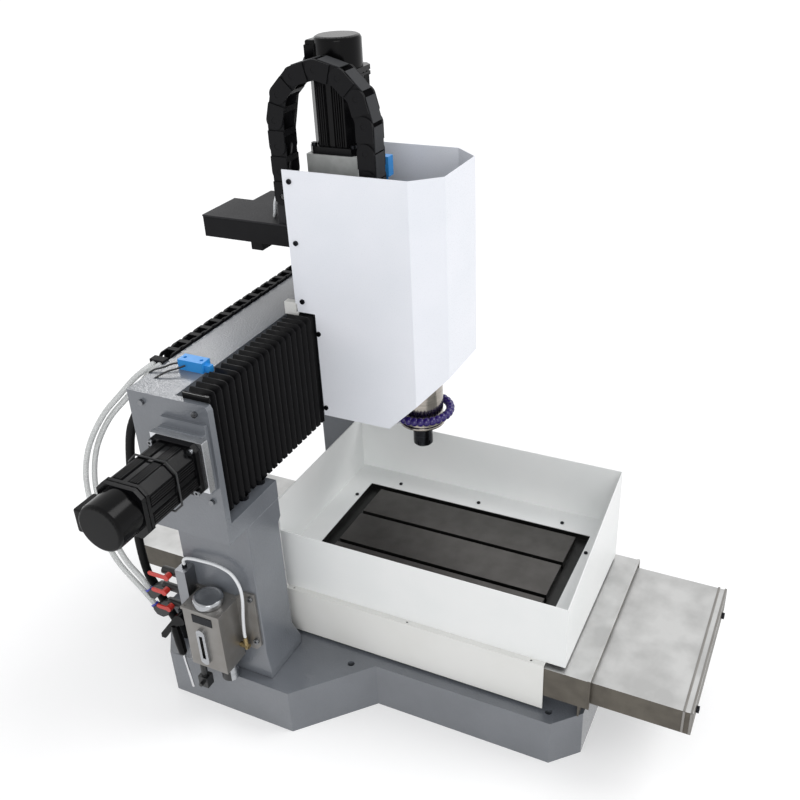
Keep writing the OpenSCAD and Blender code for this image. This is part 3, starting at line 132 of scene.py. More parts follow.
EVEN = (1, 1, 1)
CLOUD_EDGES = (0.35, 0.65)
GRAIN_LOW, GRAIN_HIGH = 0.3, 0.7
GLOSSIEST, DULLEST = 0.85, 1.2


def make_finish(name, light, dark, roughness, grain, relief, stretch=EVEN, clouds=0, **sockets):
    """A finish whose colour wanders from dark to light. Grain, relief and clouds are in mm."""
    made = bpy.data.materials.new(name)
    made.use_nodes = True
    made.diffuse_color = linear(light)
    tree = made.node_tree
    shader = tree.nodes["Principled BSDF"]
    for socket, value in sockets.items():
        shader.inputs[socket.replace("_", " ")].default_value = value
    place = add_node(tree, "ShaderNodeTexCoord").outputs["Object"]
    noises = []
    for size, drawn in ((grain, stretch), (clouds or grain, EVEN if clouds else stretch)):
        scale = [1 / (size * MM * s) for s in drawn]
        spot = add_node(tree, "ShaderNodeMapping", [(place, "Vector")], Scale=scale)
        link = [(spot.outputs["Vector"], "Vector")]
        noises.append(add_node(tree, "ShaderNodeTexNoise", link, Scale=1.0, Detail=3.0).outputs[0])
    worked, wandering = noises
    ramp = add_node(tree, "ShaderNodeValToRGB", [(wandering, "Fac")])
    for stop, position, colour in zip(ramp.color_ramp.elements, CLOUD_EDGES, (dark, light)):
        stop.position, stop.color = position, linear(colour)
    gloss = add_node(
        tree, "ShaderNodeMapRange", [(worked, "Value")], From_Min=GRAIN_LOW, From_Max=GRAIN_HIGH,
        To_Min=roughness * GLOSSIEST, To_Max=roughness * DULLEST,
    )
    bump = add_node(tree, "ShaderNodeBump", [(worked, "Height")], Distance=relief * MM)
    tree.links.new(ramp.outputs["Color"], shader.inputs["Base Color"])
    tree.links.new(gloss.outputs["Result"], shader.inputs["Roughness"])
    tree.links.new(bump.outputs["Normal"], shader.inputs["Normal"])
    if sockets.get("Coat_Weight"):
        tree.links.new(bump.outputs["Normal"], shader.inputs["Coat Normal"])
    return made


# %% [markdown]
# ## Paints
# The castings have machine enamel, sprayed thickly over rough iron. It dries with an orange peel
# of ripples about three millimetres wide, which breaks a lamp's reflection into bright specks.
# The sheet steel has a thin powder coat, melted on in an oven, so its peel is finer and flatter.
# The black boxes at the head have the matt kind, which hardly mirrors anything.

# %% Paints
COAT = {"Coat_Weight": 0.8, "Coat_Roughness": 0.05}
castings_enamel = make_finish(
    "sprayed_enamel_grey", "#686c72", "#61656b", 0.36, 3.2, 0.55, clouds=90, **COAT
)
dark_enamel = make_finish(
    "sprayed_enamel_dark", "#44474c", "#3e4146", 0.42, 3.2, 0.4, clouds=90, **COAT
)
cover_powder = make_finish("powder_coat_white", "#eceef4", "#e8ebf1", 0.3, 1.8, 0.01, clouds=120)
tray_powder = make_finish("powder_coat_tray", "#ecedec", "#e8eae9", 0.4, 1.8, 0.015, clouds=120)
skirt_powder = make_finish("powder_coat_skirt", "#e4e4e1", "#dfdfdb", 0.45, 1.8, 0.02, clouds=120)
MATT = {"Specular_IOR_Level": 0.12}
box_powder = make_finish(
    "powder_coat_black", "#161618", "#121214", 0.5, 1.4, 0.04, clouds=60, **MATT
)
lid_powder = make_finish(
    "powder_coat_charcoal", "#2c2c2e", "#262628", 0.5, 1.4, 0.04, clouds=60, **MATT
)

# %% [markdown]
# ## Bare metals
# Rolled sheet is smooth, with wide faint clouds from wiping. Ground steel is nearly a mirror, and
# milled aluminium shows the cutter's fine lines. Their grain is at most a hundredth of a
# millimetre high, which bends the reflections and no more. The true spacing of such lines, a
# tenth of a millimetre, is too fine to show here, so they are drawn about a millimetre apart. The
# table is milled iron, oiled and wiped: it is dark, with paler clouds where the oil has gone.

# %% Metals
METAL = {"Metallic": 1.0}
ALONG_X, ALONG_Y, TURNED = (40, 1, 1), (1, 40, 1), (20, 20, 1)
way_steel = make_finish(
    "rolled_steel_covers", "#c9c9c8", "#b4b4b3", 0.34, 1.2, 0.0008, clouds=55, Metallic=0.8
)
# Painted shade: a darker, browner steel for the covers' side faces, which turn away from the light.
painted_shade_side_steel = make_finish(
    "painted_shade_steel_cover_sides", "#5c574e", "#504b43", 0.42, 1.2, 0.002, clouds=30, Metallic=0.4
)
tank_steel = make_finish(
    "brushed_steel_tank", "#8d8b88", "#827f7b", 0.34, 1.2, 0.0008, clouds=45, Metallic=0.7
)
cap_steel = make_finish("turned_steel_cap", "#b4b6b9", "#a0a2a5", 0.22, 1.5, 0.006, TURNED, **METAL)
ground_steel = make_finish(
    "ground_steel", "#c9cbcd", "#b8babc", 0.2, 1.0, 0.003, ALONG_X, **METAL
)
milled_aluminium = make_finish(
    "milled_aluminium", "#d4d6d9", "#bfc1c4", 0.3, 0.8, 0.008, ALONG_Y, **METAL
)
black_aluminium = make_finish(
    "black_anodised_aluminium", "#0b0b0d", "#070708", 0.2, 1.0, 0.004, ALONG_X,
    Specular_IOR_Level=0.16,
)
cast_aluminium = make_finish(
    "cast_aluminium_mount", "#b9bbb9", "#abadab", 0.45, 1.2, 0.02, clouds=20, Metallic=0.35
)
black_steel = make_finish("blackened_steel", "#2d2e31", "#1f2023", 0.3, 1.5, 0.005, **METAL)
spindle_steel = make_finish(
    "polished_steel_spindle", "#a8a29a", "#8d8780", 0.17, 1.0, 0.002, TURNED, **METAL
)
nut_steel = make_finish(
    "hardened_steel_nut", "#3a3b3f", "#27282b", 0.16, 1.0, 0.003, TURNED, **METAL
)
machined_iron = make_finish(
    "machined_iron", "#9b9da1", "#85878b", 0.36, 1.0, 0.010, ALONG_X, **METAL
)
brass = make_finish("dull_brass", "#a3916a", "#8a7a58", 0.4, 3.0, 0.01, **METAL)
bright_screw = make_finish("bright_steel_screws", "#dcdddf", "#c4c5c7", 0.16, 1.0, 0.002, **METAL)
screw_steel = make_finish("zinc_plated_screws", "#8b8d90", "#6f7174", 0.22, 1.0, 0.002, **METAL)
table_iron = make_finish(
    "milled_iron_oiled", "#595755", "#504e4c", 0.36, 1.0, 0.010, ALONG_Y, clouds=34, Metallic=0.7
)
# Painted shade: a near-black iron for the table's faces below its top, in the slots and gutter.
painted_shade_gutter_iron = make_finish(
    "milled_iron_painted_gutter_shade", "#1d1d1c", "#131312", 0.34, 1.0, 0.010, ALONG_Y, clouds=34, Metallic=0.3
)

# %% [markdown]
# ## Plastics, rubber and cloth
# Motor caps, elbows and switches are moulded, with a soft gloss from the mould. The bellows are
# cloth with a black coating, duller than plastic, with a faint sheen along the folds. The hoses
# are polyurethane that has gone milky, so only part of the light goes through.

# %% Plastics
cap_plastic = make_finish(
    "moulded_abs_black", "#09090a", "#060607", 0.16, 0.9, 0.004, Specular_IOR_Level=0.12
)
chain_plastic = make_finish(
    "moulded_nylon_chain", "#141416", "#101012", 0.45, 0.9, 0.02, **MATT
)
lid_plastic = make_finish("moulded_nylon_lids", "#38393b", "#323335", 0.5, 0.9, 0.03, **MATT)
switch_plastic = make_finish("moulded_abs_blue", "#3193de", "#2b8ad4", 0.35, 0.9, 0.004)
lever_plastic = make_finish("dipped_vinyl_red", "#c9382f", "#bf322b", 0.3, 1.5, 0.01)
collar_plastic = make_finish("moulded_abs_collar", "#3c40b0", "#363aa5", 0.35, 0.9, 0.004)
elbow_plastic = make_finish("moulded_nylon_elbow", "#161718", "#121314", 0.34, 0.9, 0.02)
bead_plastic = make_finish("moulded_acetal_violet", "#2d1b6a", "#25165c", 0.2, 0.9, 0.003)
dog_plastic = make_finish("moulded_nylon_white", "#e6e6e3", "#dededa", 0.4, 0.9, 0.01)
bellows_cloth = make_finish(
    "coated_cloth_black", "#0d0d0f", "#09090b", 0.42, 0.8, 0.02, **MATT
)
conduit_rubber = make_finish("ribbed_rubber_conduit", "#141415", "#101011", 0.5, 0.9, 0.02, **MATT)
wire_black = make_finish("pvc_wire_black", "#18191b", "#141517", 0.45, 0.9, 0.004)
wire_white = make_finish("pvc_wire_white", "#e1e3e5", "#d9dbdd", 0.4, 0.9, 0.004)
nylon_tube = make_finish("drawn_nylon_tube", "#e4e6e8", "#dcdee0", 0.3, 0.9, 0.003)
hose_clear = make_finish(
    "polyurethane_hose_milky", "#dcdedd", "#d7d9d8", 0.25, 2.0, 0.002, Transmission_Weight=0.3
)
gauge_dark = make_finish("moulded_acrylic_gauge", "#141613", "#0e100d", 0.06, 2.0, 0.002)
print("materials:", len(bpy.data.materials))

# %% [markdown]
# ## A finish for every solid
# Each CAD solid gets one material. A real edge is never quite sharp, so a Weld joins the mesh's
# loose triangles, a planar Decimate takes away the lines across flat faces, and a small Bevel
# breaks the edges and catches the light. Weighted normals keep the flats flat.

# %% Finishes
FINISH = {
    castings_enamel: "base_casting left_column right_column cross_beam",
    dark_enamel: "x_saddle z_housing y_saddle",
    ground_steel: "linear_rails x_runners z_rails z_runners y_runners x_screw y_screw z_screw",
    black_steel: "screw_supports head_screws",
    milled_aluminium: "x_motor_plate",
    cast_aluminium: "z_motor_mount",
    black_aluminium: "x_motor y_motor z_motor",
    cap_plastic: "x_motor_cap z_motor_cap pump_lever",
    switch_plastic: "x_limit_switch z_limit_switch",
    box_powder: "chain_shelf cable_box",
    lid_powder: "cable_box_lid",
    way_steel: "fixed_covers outer_covers front_cover_middle rear_cover_middle",
    tank_steel: "oil_tank tank_lid",
    cap_steel: "tank_cap sight_glass",
    brass: "oil_fittings",
    elbow_plastic: "hose_elbows",
    screw_steel: "frame_screws",
    lever_plastic: "valve_lever_top valve_lever_middle valve_lever_low",
    cover_powder: "z_cover",
    machined_iron: "z_slide spindle_clamp manifold_block",
    spindle_steel: "spindle_body",
    nut_steel: "spindle_rotor",
    bead_plastic: "coolant_ring",
    table_iron: "t_slot_table",
    tray_powder: "chip_tray",
    skirt_powder: "skirts",
    bellows_cloth: "bellows",
    chain_plastic: "x_chain z_chain",
    hose_clear: "coolant_hoses",
    nylon_tube: "oil_tube",
    conduit_rubber: "conduit",
}
USUAL_BREAK = 0.8
EDGE_BREAK = {
    3.0: "base_casting right_column cross_beam",
    2.0: "left_column x_motor_cap z_motor_cap",
    1.5: "pump_lever",
    1.2: "x_limit_switch z_limit_switch",
    0.7: "z_cover x_motor z_motor",
    0.6: "chip_tray skirts fixed_covers outer_covers front_cover_middle rear_cover_middle cable_box",
}
BREAK_OF = {name: width for width, names in EDGE_BREAK.items() for name in names.split()}
BENDING = {"bellows", "x_chain", "z_chain", "coolant_hoses", "oil_tube", "conduit"}
MERGE_DISTANCE = 0.01
FLAT_ANGLE, EDGE_ANGLE = math.radians(0.8), math.radians(32)


def soften_edges(piece, width):
    """Weld, planar Decimate, Bevel and weighted normals, all live on the piece."""
    weld = piece.modifiers.new("weld", "WELD")
    weld.merge_threshold = MERGE_DISTANCE * MM
    flat = piece.modifiers.new("flat_faces", "DECIMATE")
    flat.decimate_type = "DISSOLVE"
    flat.angle_limit = FLAT_ANGLE
    edge = piece.modifiers.new("edge_break", "BEVEL")
    edge.width = width * MM
    edge.segments = 2
    edge.limit_method = "ANGLE"
    edge.angle_limit = EDGE_ANGLE
    edge.use_clamp_overlap = True
    edge.material = -1
    piece.modifiers.new("normals", "WEIGHTED_NORMAL").keep_sharp = True
    for face in piece.data.polygons:
        face.use_smooth = True


for finish, names in FINISH.items():
    for name in names.split():
        CAD[name].data.materials.clear()
        CAD[name].data.materials.append(finish)
        if name not in BENDING:
            soften_edges(CAD[name], BREAK_OF.get(name, USUAL_BREAK))
assert all(o.data.materials for o in CAD.values())
print("finished:", sum(len(names.split()) for names in FINISH.values()), "solids")

# %% [markdown]
# ## Two finishes on one solid
# A few solids are really two finishes: the table is wiped on top, and its faces below the top,
# in the slots and gutter, get a near-black iron that is painted shade; the covers' side faces get
# a darker steel than their wiped tops, which is painted shade; and the fittings at the tank are
# brass, steel and plastic side by side. A second slot and a test of each face's middle, in
# millimetres, give such faces their own finish without touching the mesh.


# %% Second finishes
def second_finish(node, finish, test):
    """Gives the faces whose middle and normal pass the test another finish."""
    data = CAD[node].data
    data.materials.append(finish)
    slot = len(data.materials) - 1
    chosen = [face for face in data.polygons if test(face.center / MM, face.normal)]
    for face in chosen:
        face.material_index = slot
    print(node, "has", len(chosen), "faces of", finish.name)


TABLE_TOP = 276
TANK_FLOOR, DRAIN_SPLIT_X, OUTLET_Y = 137.5, -337, 254
GAUGE_Y, GAUGE_HALF, GAUGE_LOW, GAUGE_HIGH = 210, 3.6, 164, 219
GRIP_END = 139
LEDGE_BOLTS_LOW, LEDGE_BOLTS_HIGH, COVER_FRONT = 465, 482, -600
# The faces below the table's top get painted shade.
second_finish("t_slot_table", painted_shade_gutter_iron, lambda p, n: p.z < TABLE_TOP - 0.1)
# The covers' side faces get painted shade, a darker steel than their tops.
for cover in ("fixed_covers", "outer_covers", "front_cover_middle", "rear_cover_middle"):
    second_finish(cover, painted_shade_side_steel, lambda p, n: abs(n.z) < 0.5)
second_finish("oil_fittings", cap_steel, lambda p, n: p.z < TANK_FLOOR and p.x > DRAIN_SPLIT_X)
second_finish("oil_fittings", elbow_plastic, lambda p, n: p.z < TANK_FLOOR and p.x < DRAIN_SPLIT_X)
second_finish("oil_fittings", black_steel, lambda p, n: p.y > OUTLET_Y)
second_finish(
    "sight_glass", gauge_dark,
    lambda p, n: abs(p.y - GAUGE_Y) < GAUGE_HALF and GAUGE_LOW < p.z < GAUGE_HIGH,
)
second_finish("pump_lever", bright_screw, lambda p, n: p.z < GRIP_END)
second_finish(
    "frame_screws", black_steel,
    lambda p, n: LEDGE_BOLTS_LOW < p.z < LEDGE_BOLTS_HIGH or p.y < COVER_FRONT,
)

# %% [markdown]
# ## Hoses, oil tube and conduit
# These are lengths of tube that hang between two fixed ends. A smooth curve through a few points
# carries each of them, because a curve keeps its thickness round every bend. The points are the
# same ones that the CAD model uses, and each cord's length is printed.


# %% Cords
def smooth_path(points, steps=6):
    """Catmull-Rom points through the given ones, in metres."""
    ends = [points[0], *points, points[-1]]
    found = []
    for i in range(1, len(ends) - 2):
        p0, p1, p2, p3 = (Vector(ends[i + k]) for k in (-1, 0, 1, 2))
        for step in range(steps):
            f = step / steps
            line = 2 * p1 + (p2 - p0) * f
            bow = (2 * p0 - 5 * p1 + 4 * p2 - p3) * f * f
            twist = (3 * p1 - p0 - 3 * p2 + p3) * f**3
            found.append((line + bow + twist) * 0.5 * MM)
    found.append(Vector(points[-1]) * MM)
    return found


def path_length(path):
    """The length of a path in metres."""
    return sum((b - a).length for a, b in zip(path, path[1:]))


def make_tube(name, points, diameter, finish, body, steps=6):
    """A round tube along the points, as a curve that rides on the body."""
    path = smooth_path(points, steps)
    curve = bpy.data.curves.new(name, "CURVE")
    curve.dimensions = "3D"
    curve.bevel_depth = diameter / 2 * MM
    curve.bevel_resolution = 4
    curve.use_fill_caps = True
    line = curve.splines.new("POLY")
    line.points.add(len(path) - 1)
    for target, place in zip(line.points, path):
        target.co = (*place, 1.0)
    curve.materials.append(finish)
    made = bpy.data.objects.new(name, curve)
    bpy.context.scene.collection.objects.link(made)
    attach(made, body)
    return made, path


HOSE_A = [
    (-310, 359.1, 238.4), (-310, 370.5, 258.2), (-306, 408, 294), (-300, 439, 361), (-298, 446, 425),
    (-296, 439, 478), (-293, 420, 531), (-286, 387, 585), (-276, 347, 629), (-268, 316, 660),
    (-262, 295, 682), (-256, 285, 690), (-247, 285, 690),
]
HOSE_B = [
    (-310, 353.1, 204.4), (-311, 374.5, 231.7), (-312, 422, 288), (-312, 447, 363), (-310, 454, 426),
    (-308, 448, 479), (-304, 427, 536), (-295, 389, 597), (-282, 350, 641), (-273, 325, 668),
    (-266, 306, 684), (-256, 298, 690), (-247, 298, 690),
]
OIL_TUBE = [
    (-305, 156, 190.3), (-305, 156, 205), (-305, 153, 240), (-305, 148, 281), (-305, 150, 310),
    (-305, 162, 332), (-305, 180, 341), (-305, 200, 344), (-305, 224, 343), (-305, 246, 341),
    (-305, 260, 337), (-305, 266, 330), (-305, 266, 322.3),
]
CONDUIT = [
    (-247, 291, 668), (-252, 291, 668), (-258, 291, 668), (-268, 293, 665), (-276, 299, 655),
    (-279, 308, 640), (-281, 325, 610), (-284, 351, 552), (-287, 373, 420), (-287, 381, 328),
    (-285, 380, 256), (-283, 369, 220), (-278, 345, 150),
    (-271, 331, 115), (-270, 330, 104), (-270, 330, 97.6),
]
CORDS = [
    ("coolant_hose_upper", HOSE_A, 10, hose_clear, "clear_hose", "coolant_hoses"),
    ("coolant_hose_lower", HOSE_B, 10, hose_clear, "clear_hose", "coolant_hoses"),
    ("oil_tube_line", OIL_TUBE, 6, nylon_tube, "white_nylon", "oil_tube"),
    ("cable_conduit", CONDUIT, 16, conduit_rubber, "black_rubber", "conduit"),
]


def lay_cord(name, points, diameter, finish, body):
    """A round tube along the points, with both ends on the machine, whose length is printed."""
    cord, path = make_tube(name, points, diameter, finish, body)
    print(name, round(path_length(path) / MM), "mm long")
    return cord


for name, points, diameter, finish, slot, node in CORDS:
    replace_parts(lay_cord(name, points, diameter, finish, "frame"), node)

# %% [markdown]
# ## Helpers for new pieces
# A new piece starts from a bmesh primitive that is put in its place at once, so that its object
# can stay at the origin. A bevel breaks its edges as on the solids.


# %% Piece helpers
SHARP = math.radians(40)


def finish_piece(name, mesh, finishes, body=None):
    """Turns a bmesh into a piece, smooth except at sharp edges, that rides on the body."""
    for edge in mesh.edges:
        edge.smooth = edge.calc_face_angle(0) < SHARP
    for face in mesh.faces:
        face.smooth = True
    data = bpy.data.meshes.new(name)
    mesh.to_mesh(data)
    mesh.free()
    for material in finishes:
        data.materials.append(material)
    made = bpy.data.objects.new(name, data)
    bpy.context.scene.collection.objects.link(made)
    made.modifiers.new("normals", "WEIGHTED_NORMAL").keep_sharp = True
    if body:
        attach(made, body)
    print(name, "has", len(data.polygons), "faces")
    return made


def break_edges(mesh, edges, width, segments=2):
    """Bevels the edges by a width in millimetres."""
    bmesh.ops.bevel(
        mesh, geom=edges, offset=width * MM, segments=segments, affect="EDGES", profile=0.5, material=-1
    )


def edges_of(made):
    """The edges of a primitive that was just made."""
    return list({edge for dot in made["verts"] for edge in dot.link_edges})


def add_block(mesh, low, high, edge=0.0, turn=None):
    """Adds a block given by two corners in millimetres, with its edges broken."""
    low, high = Vector(low) * MM, Vector(high) * MM
    size = Matrix.Diagonal((*(high - low), 1))
    place = Matrix.Translation((low + high) / 2)
    made = bmesh.ops.create_cube(mesh, size=1, matrix=place @ (turn or Matrix()) @ size)
    if edge:
        break_edges(mesh, edges_of(made), edge)


def add_disc(mesh, base, direction, radius, length, edge=0.0, sides=32):
    """Adds a round bar from its base point along a direction, with its rims broken."""
    axis = Vector(direction).normalized()
    turned = axis.to_track_quat("Z", "Y").to_matrix().to_4x4()
    centre = Vector(base) * MM + axis * length * MM / 2
    made = bmesh.ops.create_cone(
        mesh,
        cap_ends=True,
        segments=sides,
        radius1=radius * MM,
        radius2=radius * MM,
        depth=length * MM,
        matrix=Matrix.Translation(centre) @ turned,
    )
    if edge:
        rims = [e for e in edges_of(made) if any(len(f.verts) > 4 for f in e.link_faces)]
        break_edges(mesh, rims, edge)


# %% [markdown]
# ## Bellows
# A folded apron of coated cloth keeps chips off the ways. Its section is a U that is open at the
# back. Each fold is that outline drawn along the beam, once drawn in and once let out, so the
# pleats run over the top, down the front and back underneath in one piece. It runs from the beam's
# end to the carriage. A flat flange holds its outer fold at the top of the beam's end.

# %% Bellows
BELLOWS_FRONT, BELLOWS_BACK = 130, 175
BELLOWS_LOW, BELLOWS_HIGH = 481, 704
FOLD_DEPTH, FOLD_TIP, FOLD_ROOT = 12, 1.6, 1.0
CLOTH = 0.9
BEAM_END, CARRIAGE_LEFT, CARRIAGE_RIGHT = 328, -14, 184
FOLDS_LEFT, FOLDS_RIGHT = 19, 9
FLANGE_NEAR, FLANGE_FAR, FLANGE_LOW = 326, 331, 694.3
BELLOWS_SECTION = [
    (BELLOWS_BACK, BELLOWS_LOW), (BELLOWS_FRONT + 6, BELLOWS_LOW),
    (BELLOWS_FRONT, BELLOWS_LOW + 6), (BELLOWS_FRONT, BELLOWS_HIGH - 7),
    (BELLOWS_FRONT + 2, BELLOWS_HIGH - 2), (BELLOWS_FRONT + 7, BELLOWS_HIGH),
    (BELLOWS_BACK, BELLOWS_HIGH),
]


def make_bellows(name, x_fixed, x_moving, folds):
    """A folded apron from the beam's end to the carriage, by repeated extrusion of its section."""
    mesh = bmesh.new()
    dots = [mesh.verts.new((x_fixed * MM, y * MM, z * MM)) for y, z in BELLOWS_SECTION]
    edges = [mesh.edges.new(pair) for pair in zip(dots, dots[1:])]
    pitch = (x_moving - x_fixed) / folds
    sign = math.copysign(1, pitch)
    middle_z = (BELLOWS_LOW + BELLOWS_HIGH) / 2
    drawn_y = 1 - FOLD_DEPTH / (BELLOWS_BACK - BELLOWS_FRONT)
    drawn_z = 1 - 2 * FOLD_DEPTH / (BELLOWS_HIGH - BELLOWS_LOW)
    pivot = Matrix.Translation((0, -BELLOWS_BACK * MM, -middle_z * MM))
    slope = (abs(pitch) - FOLD_TIP - FOLD_ROOT) / 2 * sign
    steps = [
        (FOLD_TIP * sign, None),
        (slope, (1, drawn_y, drawn_z)),
        (FOLD_ROOT * sign, None),
        (slope, (1, 1 / drawn_y, 1 / drawn_z)),
    ]
    for travel, scale in steps * folds:
        grown = bmesh.ops.extrude_edge_only(mesh, edges=edges)["geom"]
        fresh = [g for g in grown if isinstance(g, bmesh.types.BMVert)]
        edges = [g for g in grown if isinstance(g, bmesh.types.BMEdge)]
        edges = [e for e in edges if all(v in fresh for v in e.verts)]
        bmesh.ops.translate(mesh, verts=fresh, vec=(travel * MM, 0, 0))
        if scale:
            bmesh.ops.scale(mesh, verts=fresh, vec=scale, space=pivot)
    bmesh.ops.recalc_face_normals(mesh, faces=mesh.faces)
    made = finish_piece(name, mesh, [bellows_cloth])
    cloth = made.modifiers.new("cloth_thickness", "SOLIDIFY")
    cloth.thickness = CLOTH * MM
    cloth.offset = 0
    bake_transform(made)
    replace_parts(made, "bellows")


make_bellows("bellows_left", -BEAM_END, CARRIAGE_LEFT, FOLDS_LEFT)
make_bellows("bellows_right", BEAM_END, CARRIAGE_RIGHT, FOLDS_RIGHT)
for name, side in (("bellows_end_left", -1), ("bellows_end_right", 1)):
    mesh = bmesh.new()
    near, far = sorted((side * FLANGE_FAR, side * FLANGE_NEAR))
    low, high = (near, BELLOWS_FRONT - 3, FLANGE_LOW), (far, BELLOWS_BACK + 1, BELLOWS_HIGH)
    add_block(mesh, low, high, 0.5)
    finish_piece(name, mesh, [cap_plastic], "frame")
print("bellows:", FOLDS_LEFT + FOLDS_RIGHT, "folds")

# %% [markdown]
# ## Cable chains
# A cable chain runs along the part that stands still, turns back over itself and runs along the
# part that moves, and the turn follows at half the speed. So each chain is cut in three: the run
# on the fixed side, the turn and the run on the moving side. The links are copies of the CAD
# links. On the head's chain a grey lid closes each link on its outer side.

# %% Chains
Z_CHAIN = {"first": 3, "bend": 6, "last": 7, "pitch": 42, "height": 30}
Z_CHAIN_PLACE = (-6, 175, 1034)
LID_WIDTH, LID_SHARE, LID_HALF, LID_GAP = 30, 0.47, 0.9, 0.3
LID_X = 19.5


def chain_joint(i, chain):
    """Joint i of a chain in its own plane: along u, round the turn, and back."""
    radius = chain["pitch"] / 2 / math.sin(math.radians(90 / chain["bend"]))
    if i <= chain["first"]:
        return Vector(((i - chain["first"]) * chain["pitch"], 0))
    if i <= chain["first"] + chain["bend"]:
        angle = math.radians((i - chain["first"]) * 180 / chain["bend"] - 90)
        return Vector((radius * math.cos(angle), radius + radius * math.sin(angle)))
    return Vector(((chain["first"] + chain["bend"] - i) * chain["pitch"], 2 * radius))


def add_lid(mesh, i):
    """Adds the lid of link i of the head's chain, just proud of its outer side."""
    a, b = chain_joint(i, Z_CHAIN), chain_joint(i + 1, Z_CHAIN)
    middle, along = (a + b) / 2, (b - a).normalized()
    out = Vector((along.y, -along.x)) * (Z_CHAIN["height"] / 2 + LID_GAP)
    centre = middle + out
    x, y, z = Z_CHAIN_PLACE
    place = Vector((x + LID_X, y - centre.y, z + centre.x))
    turned = Matrix.Rotation(math.atan2(along.y, along.x), 4, "X")
    half = Vector((LID_WIDTH / 2, LID_HALF, Z_CHAIN["pitch"] * LID_SHARE))
    before = set(mesh.faces)
    add_block(mesh, place - half, place + half, 0.5, turned)
    for face in set(mesh.faces) - before:
        face.material_index = 1


def copy_links(node, name, keep, lids=()):
    """The links of a CAD chain whose middles pass the test, as a piece of their own."""
    mesh = bmesh.new()
    mesh.from_mesh(CAD[node].data)
    bmesh.ops.remove_doubles(mesh, verts=mesh.verts, dist=MERGE_DISTANCE * MM)
    mesh.verts.ensure_lookup_table()
    seen, dropped = set(), []
    for first in mesh.verts:
        if first.index in seen:
            continue
        link, waiting = [], [first]
        seen.add(first.index)
        while waiting:
            dot = waiting.pop()
            link.append(dot)
            for edge in dot.link_edges:
                other = edge.other_vert(dot)
                if other.index not in seen:
                    seen.add(other.index)
                    waiting.append(other)
        middle = sum((v.co for v in link), Vector()) / len(link)
        if not keep(middle):
            dropped += link
    bmesh.ops.delete(mesh, geom=dropped, context="VERTS")
    for face in mesh.faces:
        face.material_index = 0
    for i in lids:
        add_lid(mesh, i)
    made = finish_piece(name, mesh, [chain_plastic, lid_plastic])
    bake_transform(made)
    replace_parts(made, node)


# %% [markdown]
# ## The two chains cut in three
# These places are in metres, since they are compared with the mesh. A link goes to the turn when
# its middle lies past the turn, and else to the run on its side of the middle.

# %% Chain runs
Z_TURN, Z_MIDDLE, Z_FIXED_END, Z_MOVING_END = Z_CHAIN_PLACE[2] * MM, 0.1, 0.893, 0.725
X_TURN, X_MIDDLE, X_FIXED_END, X_MOVING_END = 0.200, 0.7365, -0.23, 0.1
TURN_START = Z_CHAIN["first"]
TURN_END = TURN_START + Z_CHAIN["bend"]
LAST_LINK = TURN_END + Z_CHAIN["last"]
copy_links(
    "z_chain", "z_chain_fixed_run", lambda p: p.z < Z_TURN and p.y > Z_MIDDLE,
    range(TURN_START),
)
copy_links(
    "z_chain", "z_chain_turn", lambda p: p.z >= Z_TURN,
    range(TURN_START, TURN_END),
)
copy_links(
    "z_chain", "z_chain_moving_run", lambda p: p.z < Z_TURN and p.y < Z_MIDDLE,
    range(TURN_END, LAST_LINK),
)
copy_links(
    "x_chain", "x_chain_fixed_run", lambda p: p.x < X_TURN and p.z < X_MIDDLE,
)
copy_links(
    "x_chain", "x_chain_turn", lambda p: p.x >= X_TURN,
)
copy_links(
    "x_chain", "x_chain_moving_run", lambda p: p.x < X_TURN and p.z > X_MIDDLE,
)

# %% [markdown]
# ## Straps, plates and small fittings
# These are the bits that a maker adds last. They are too thin or too small for the solid model,
# but without them the machine looks like a drawing. A motor's body is a finned extrusion, and a
# thin black wire is tied round the X motor.

# %% Motor fins
MOTOR_HALF, FIN_HEIGHT, FIN_WIDTH, FIN_BREAK = 40, 1.8, 1.9, 0.35
FIN_PLACES = [side * place for side in (-1, 1) for place in (9.5, 13.5, 17.5, 21.5)]
X_MOTOR_MIDDLE, X_FIN_LENGTH = (-436, 168, 603), 101
Z_MOTOR_MIDDLE, Z_FIN_LENGTH = (85, 100, 1038), 105


def make_fins(name, centre, length, turned, body):
    """Thin cooling fins on the four sides of a motor whose axis is turned from Z."""
    mesh = bmesh.new()
    for quarter in range(4):
        for place in FIN_PLACES:
            spot = Matrix.Translation(Vector((place, MOTOR_HALF + FIN_HEIGHT / 2, 0)) * MM)
            size = Matrix.Diagonal((FIN_WIDTH * MM, FIN_HEIGHT * MM, length * MM, 1))
            spin = Matrix.Rotation(quarter * math.pi / 2, 4, "Z")
            full = Matrix.Translation(Vector(centre) * MM) @ turned @ spin @ spot @ size
            made = bmesh.ops.create_cube(mesh, size=1, matrix=full)
            break_edges(mesh, edges_of(made), FIN_BREAK, segments=1)
    finish_piece(name, mesh, [black_aluminium], body)


on_its_side = Matrix.Rotation(math.pi / 2, 4, "Y")
make_fins("x_motor_fins", X_MOTOR_MIDDLE, X_FIN_LENGTH, on_its_side, "frame")
make_fins("z_motor_fins", Z_MOTOR_MIDDLE, Z_FIN_LENGTH, Matrix(), "carriage")
print("fins:", 4 * len(FIN_PLACES), "on each motor")

# %% Motor strap
STRAP_X, STRAP, STRAP_HALF, STRAP_CUT = -430, 3.4, 43.6, 15.7
corner = STRAP_HALF - STRAP_CUT
outline = [
    (0, -STRAP_HALF), (-corner, -STRAP_HALF), (-STRAP_HALF, -corner), (-STRAP_HALF, corner),
    (-corner, STRAP_HALF), (corner, STRAP_HALF), (STRAP_HALF, corner), (STRAP_HALF, -corner),
    (corner, -STRAP_HALF), (0, -STRAP_HALF),
]
loop = [(STRAP_X, X_MOTOR_MIDDLE[1] + y, X_MOTOR_MIDDLE[2] + z) for y, z in outline]
make_tube("x_motor_strap", loop, STRAP, wire_black, "frame", steps=1)
print("strap:", len(loop), "points")

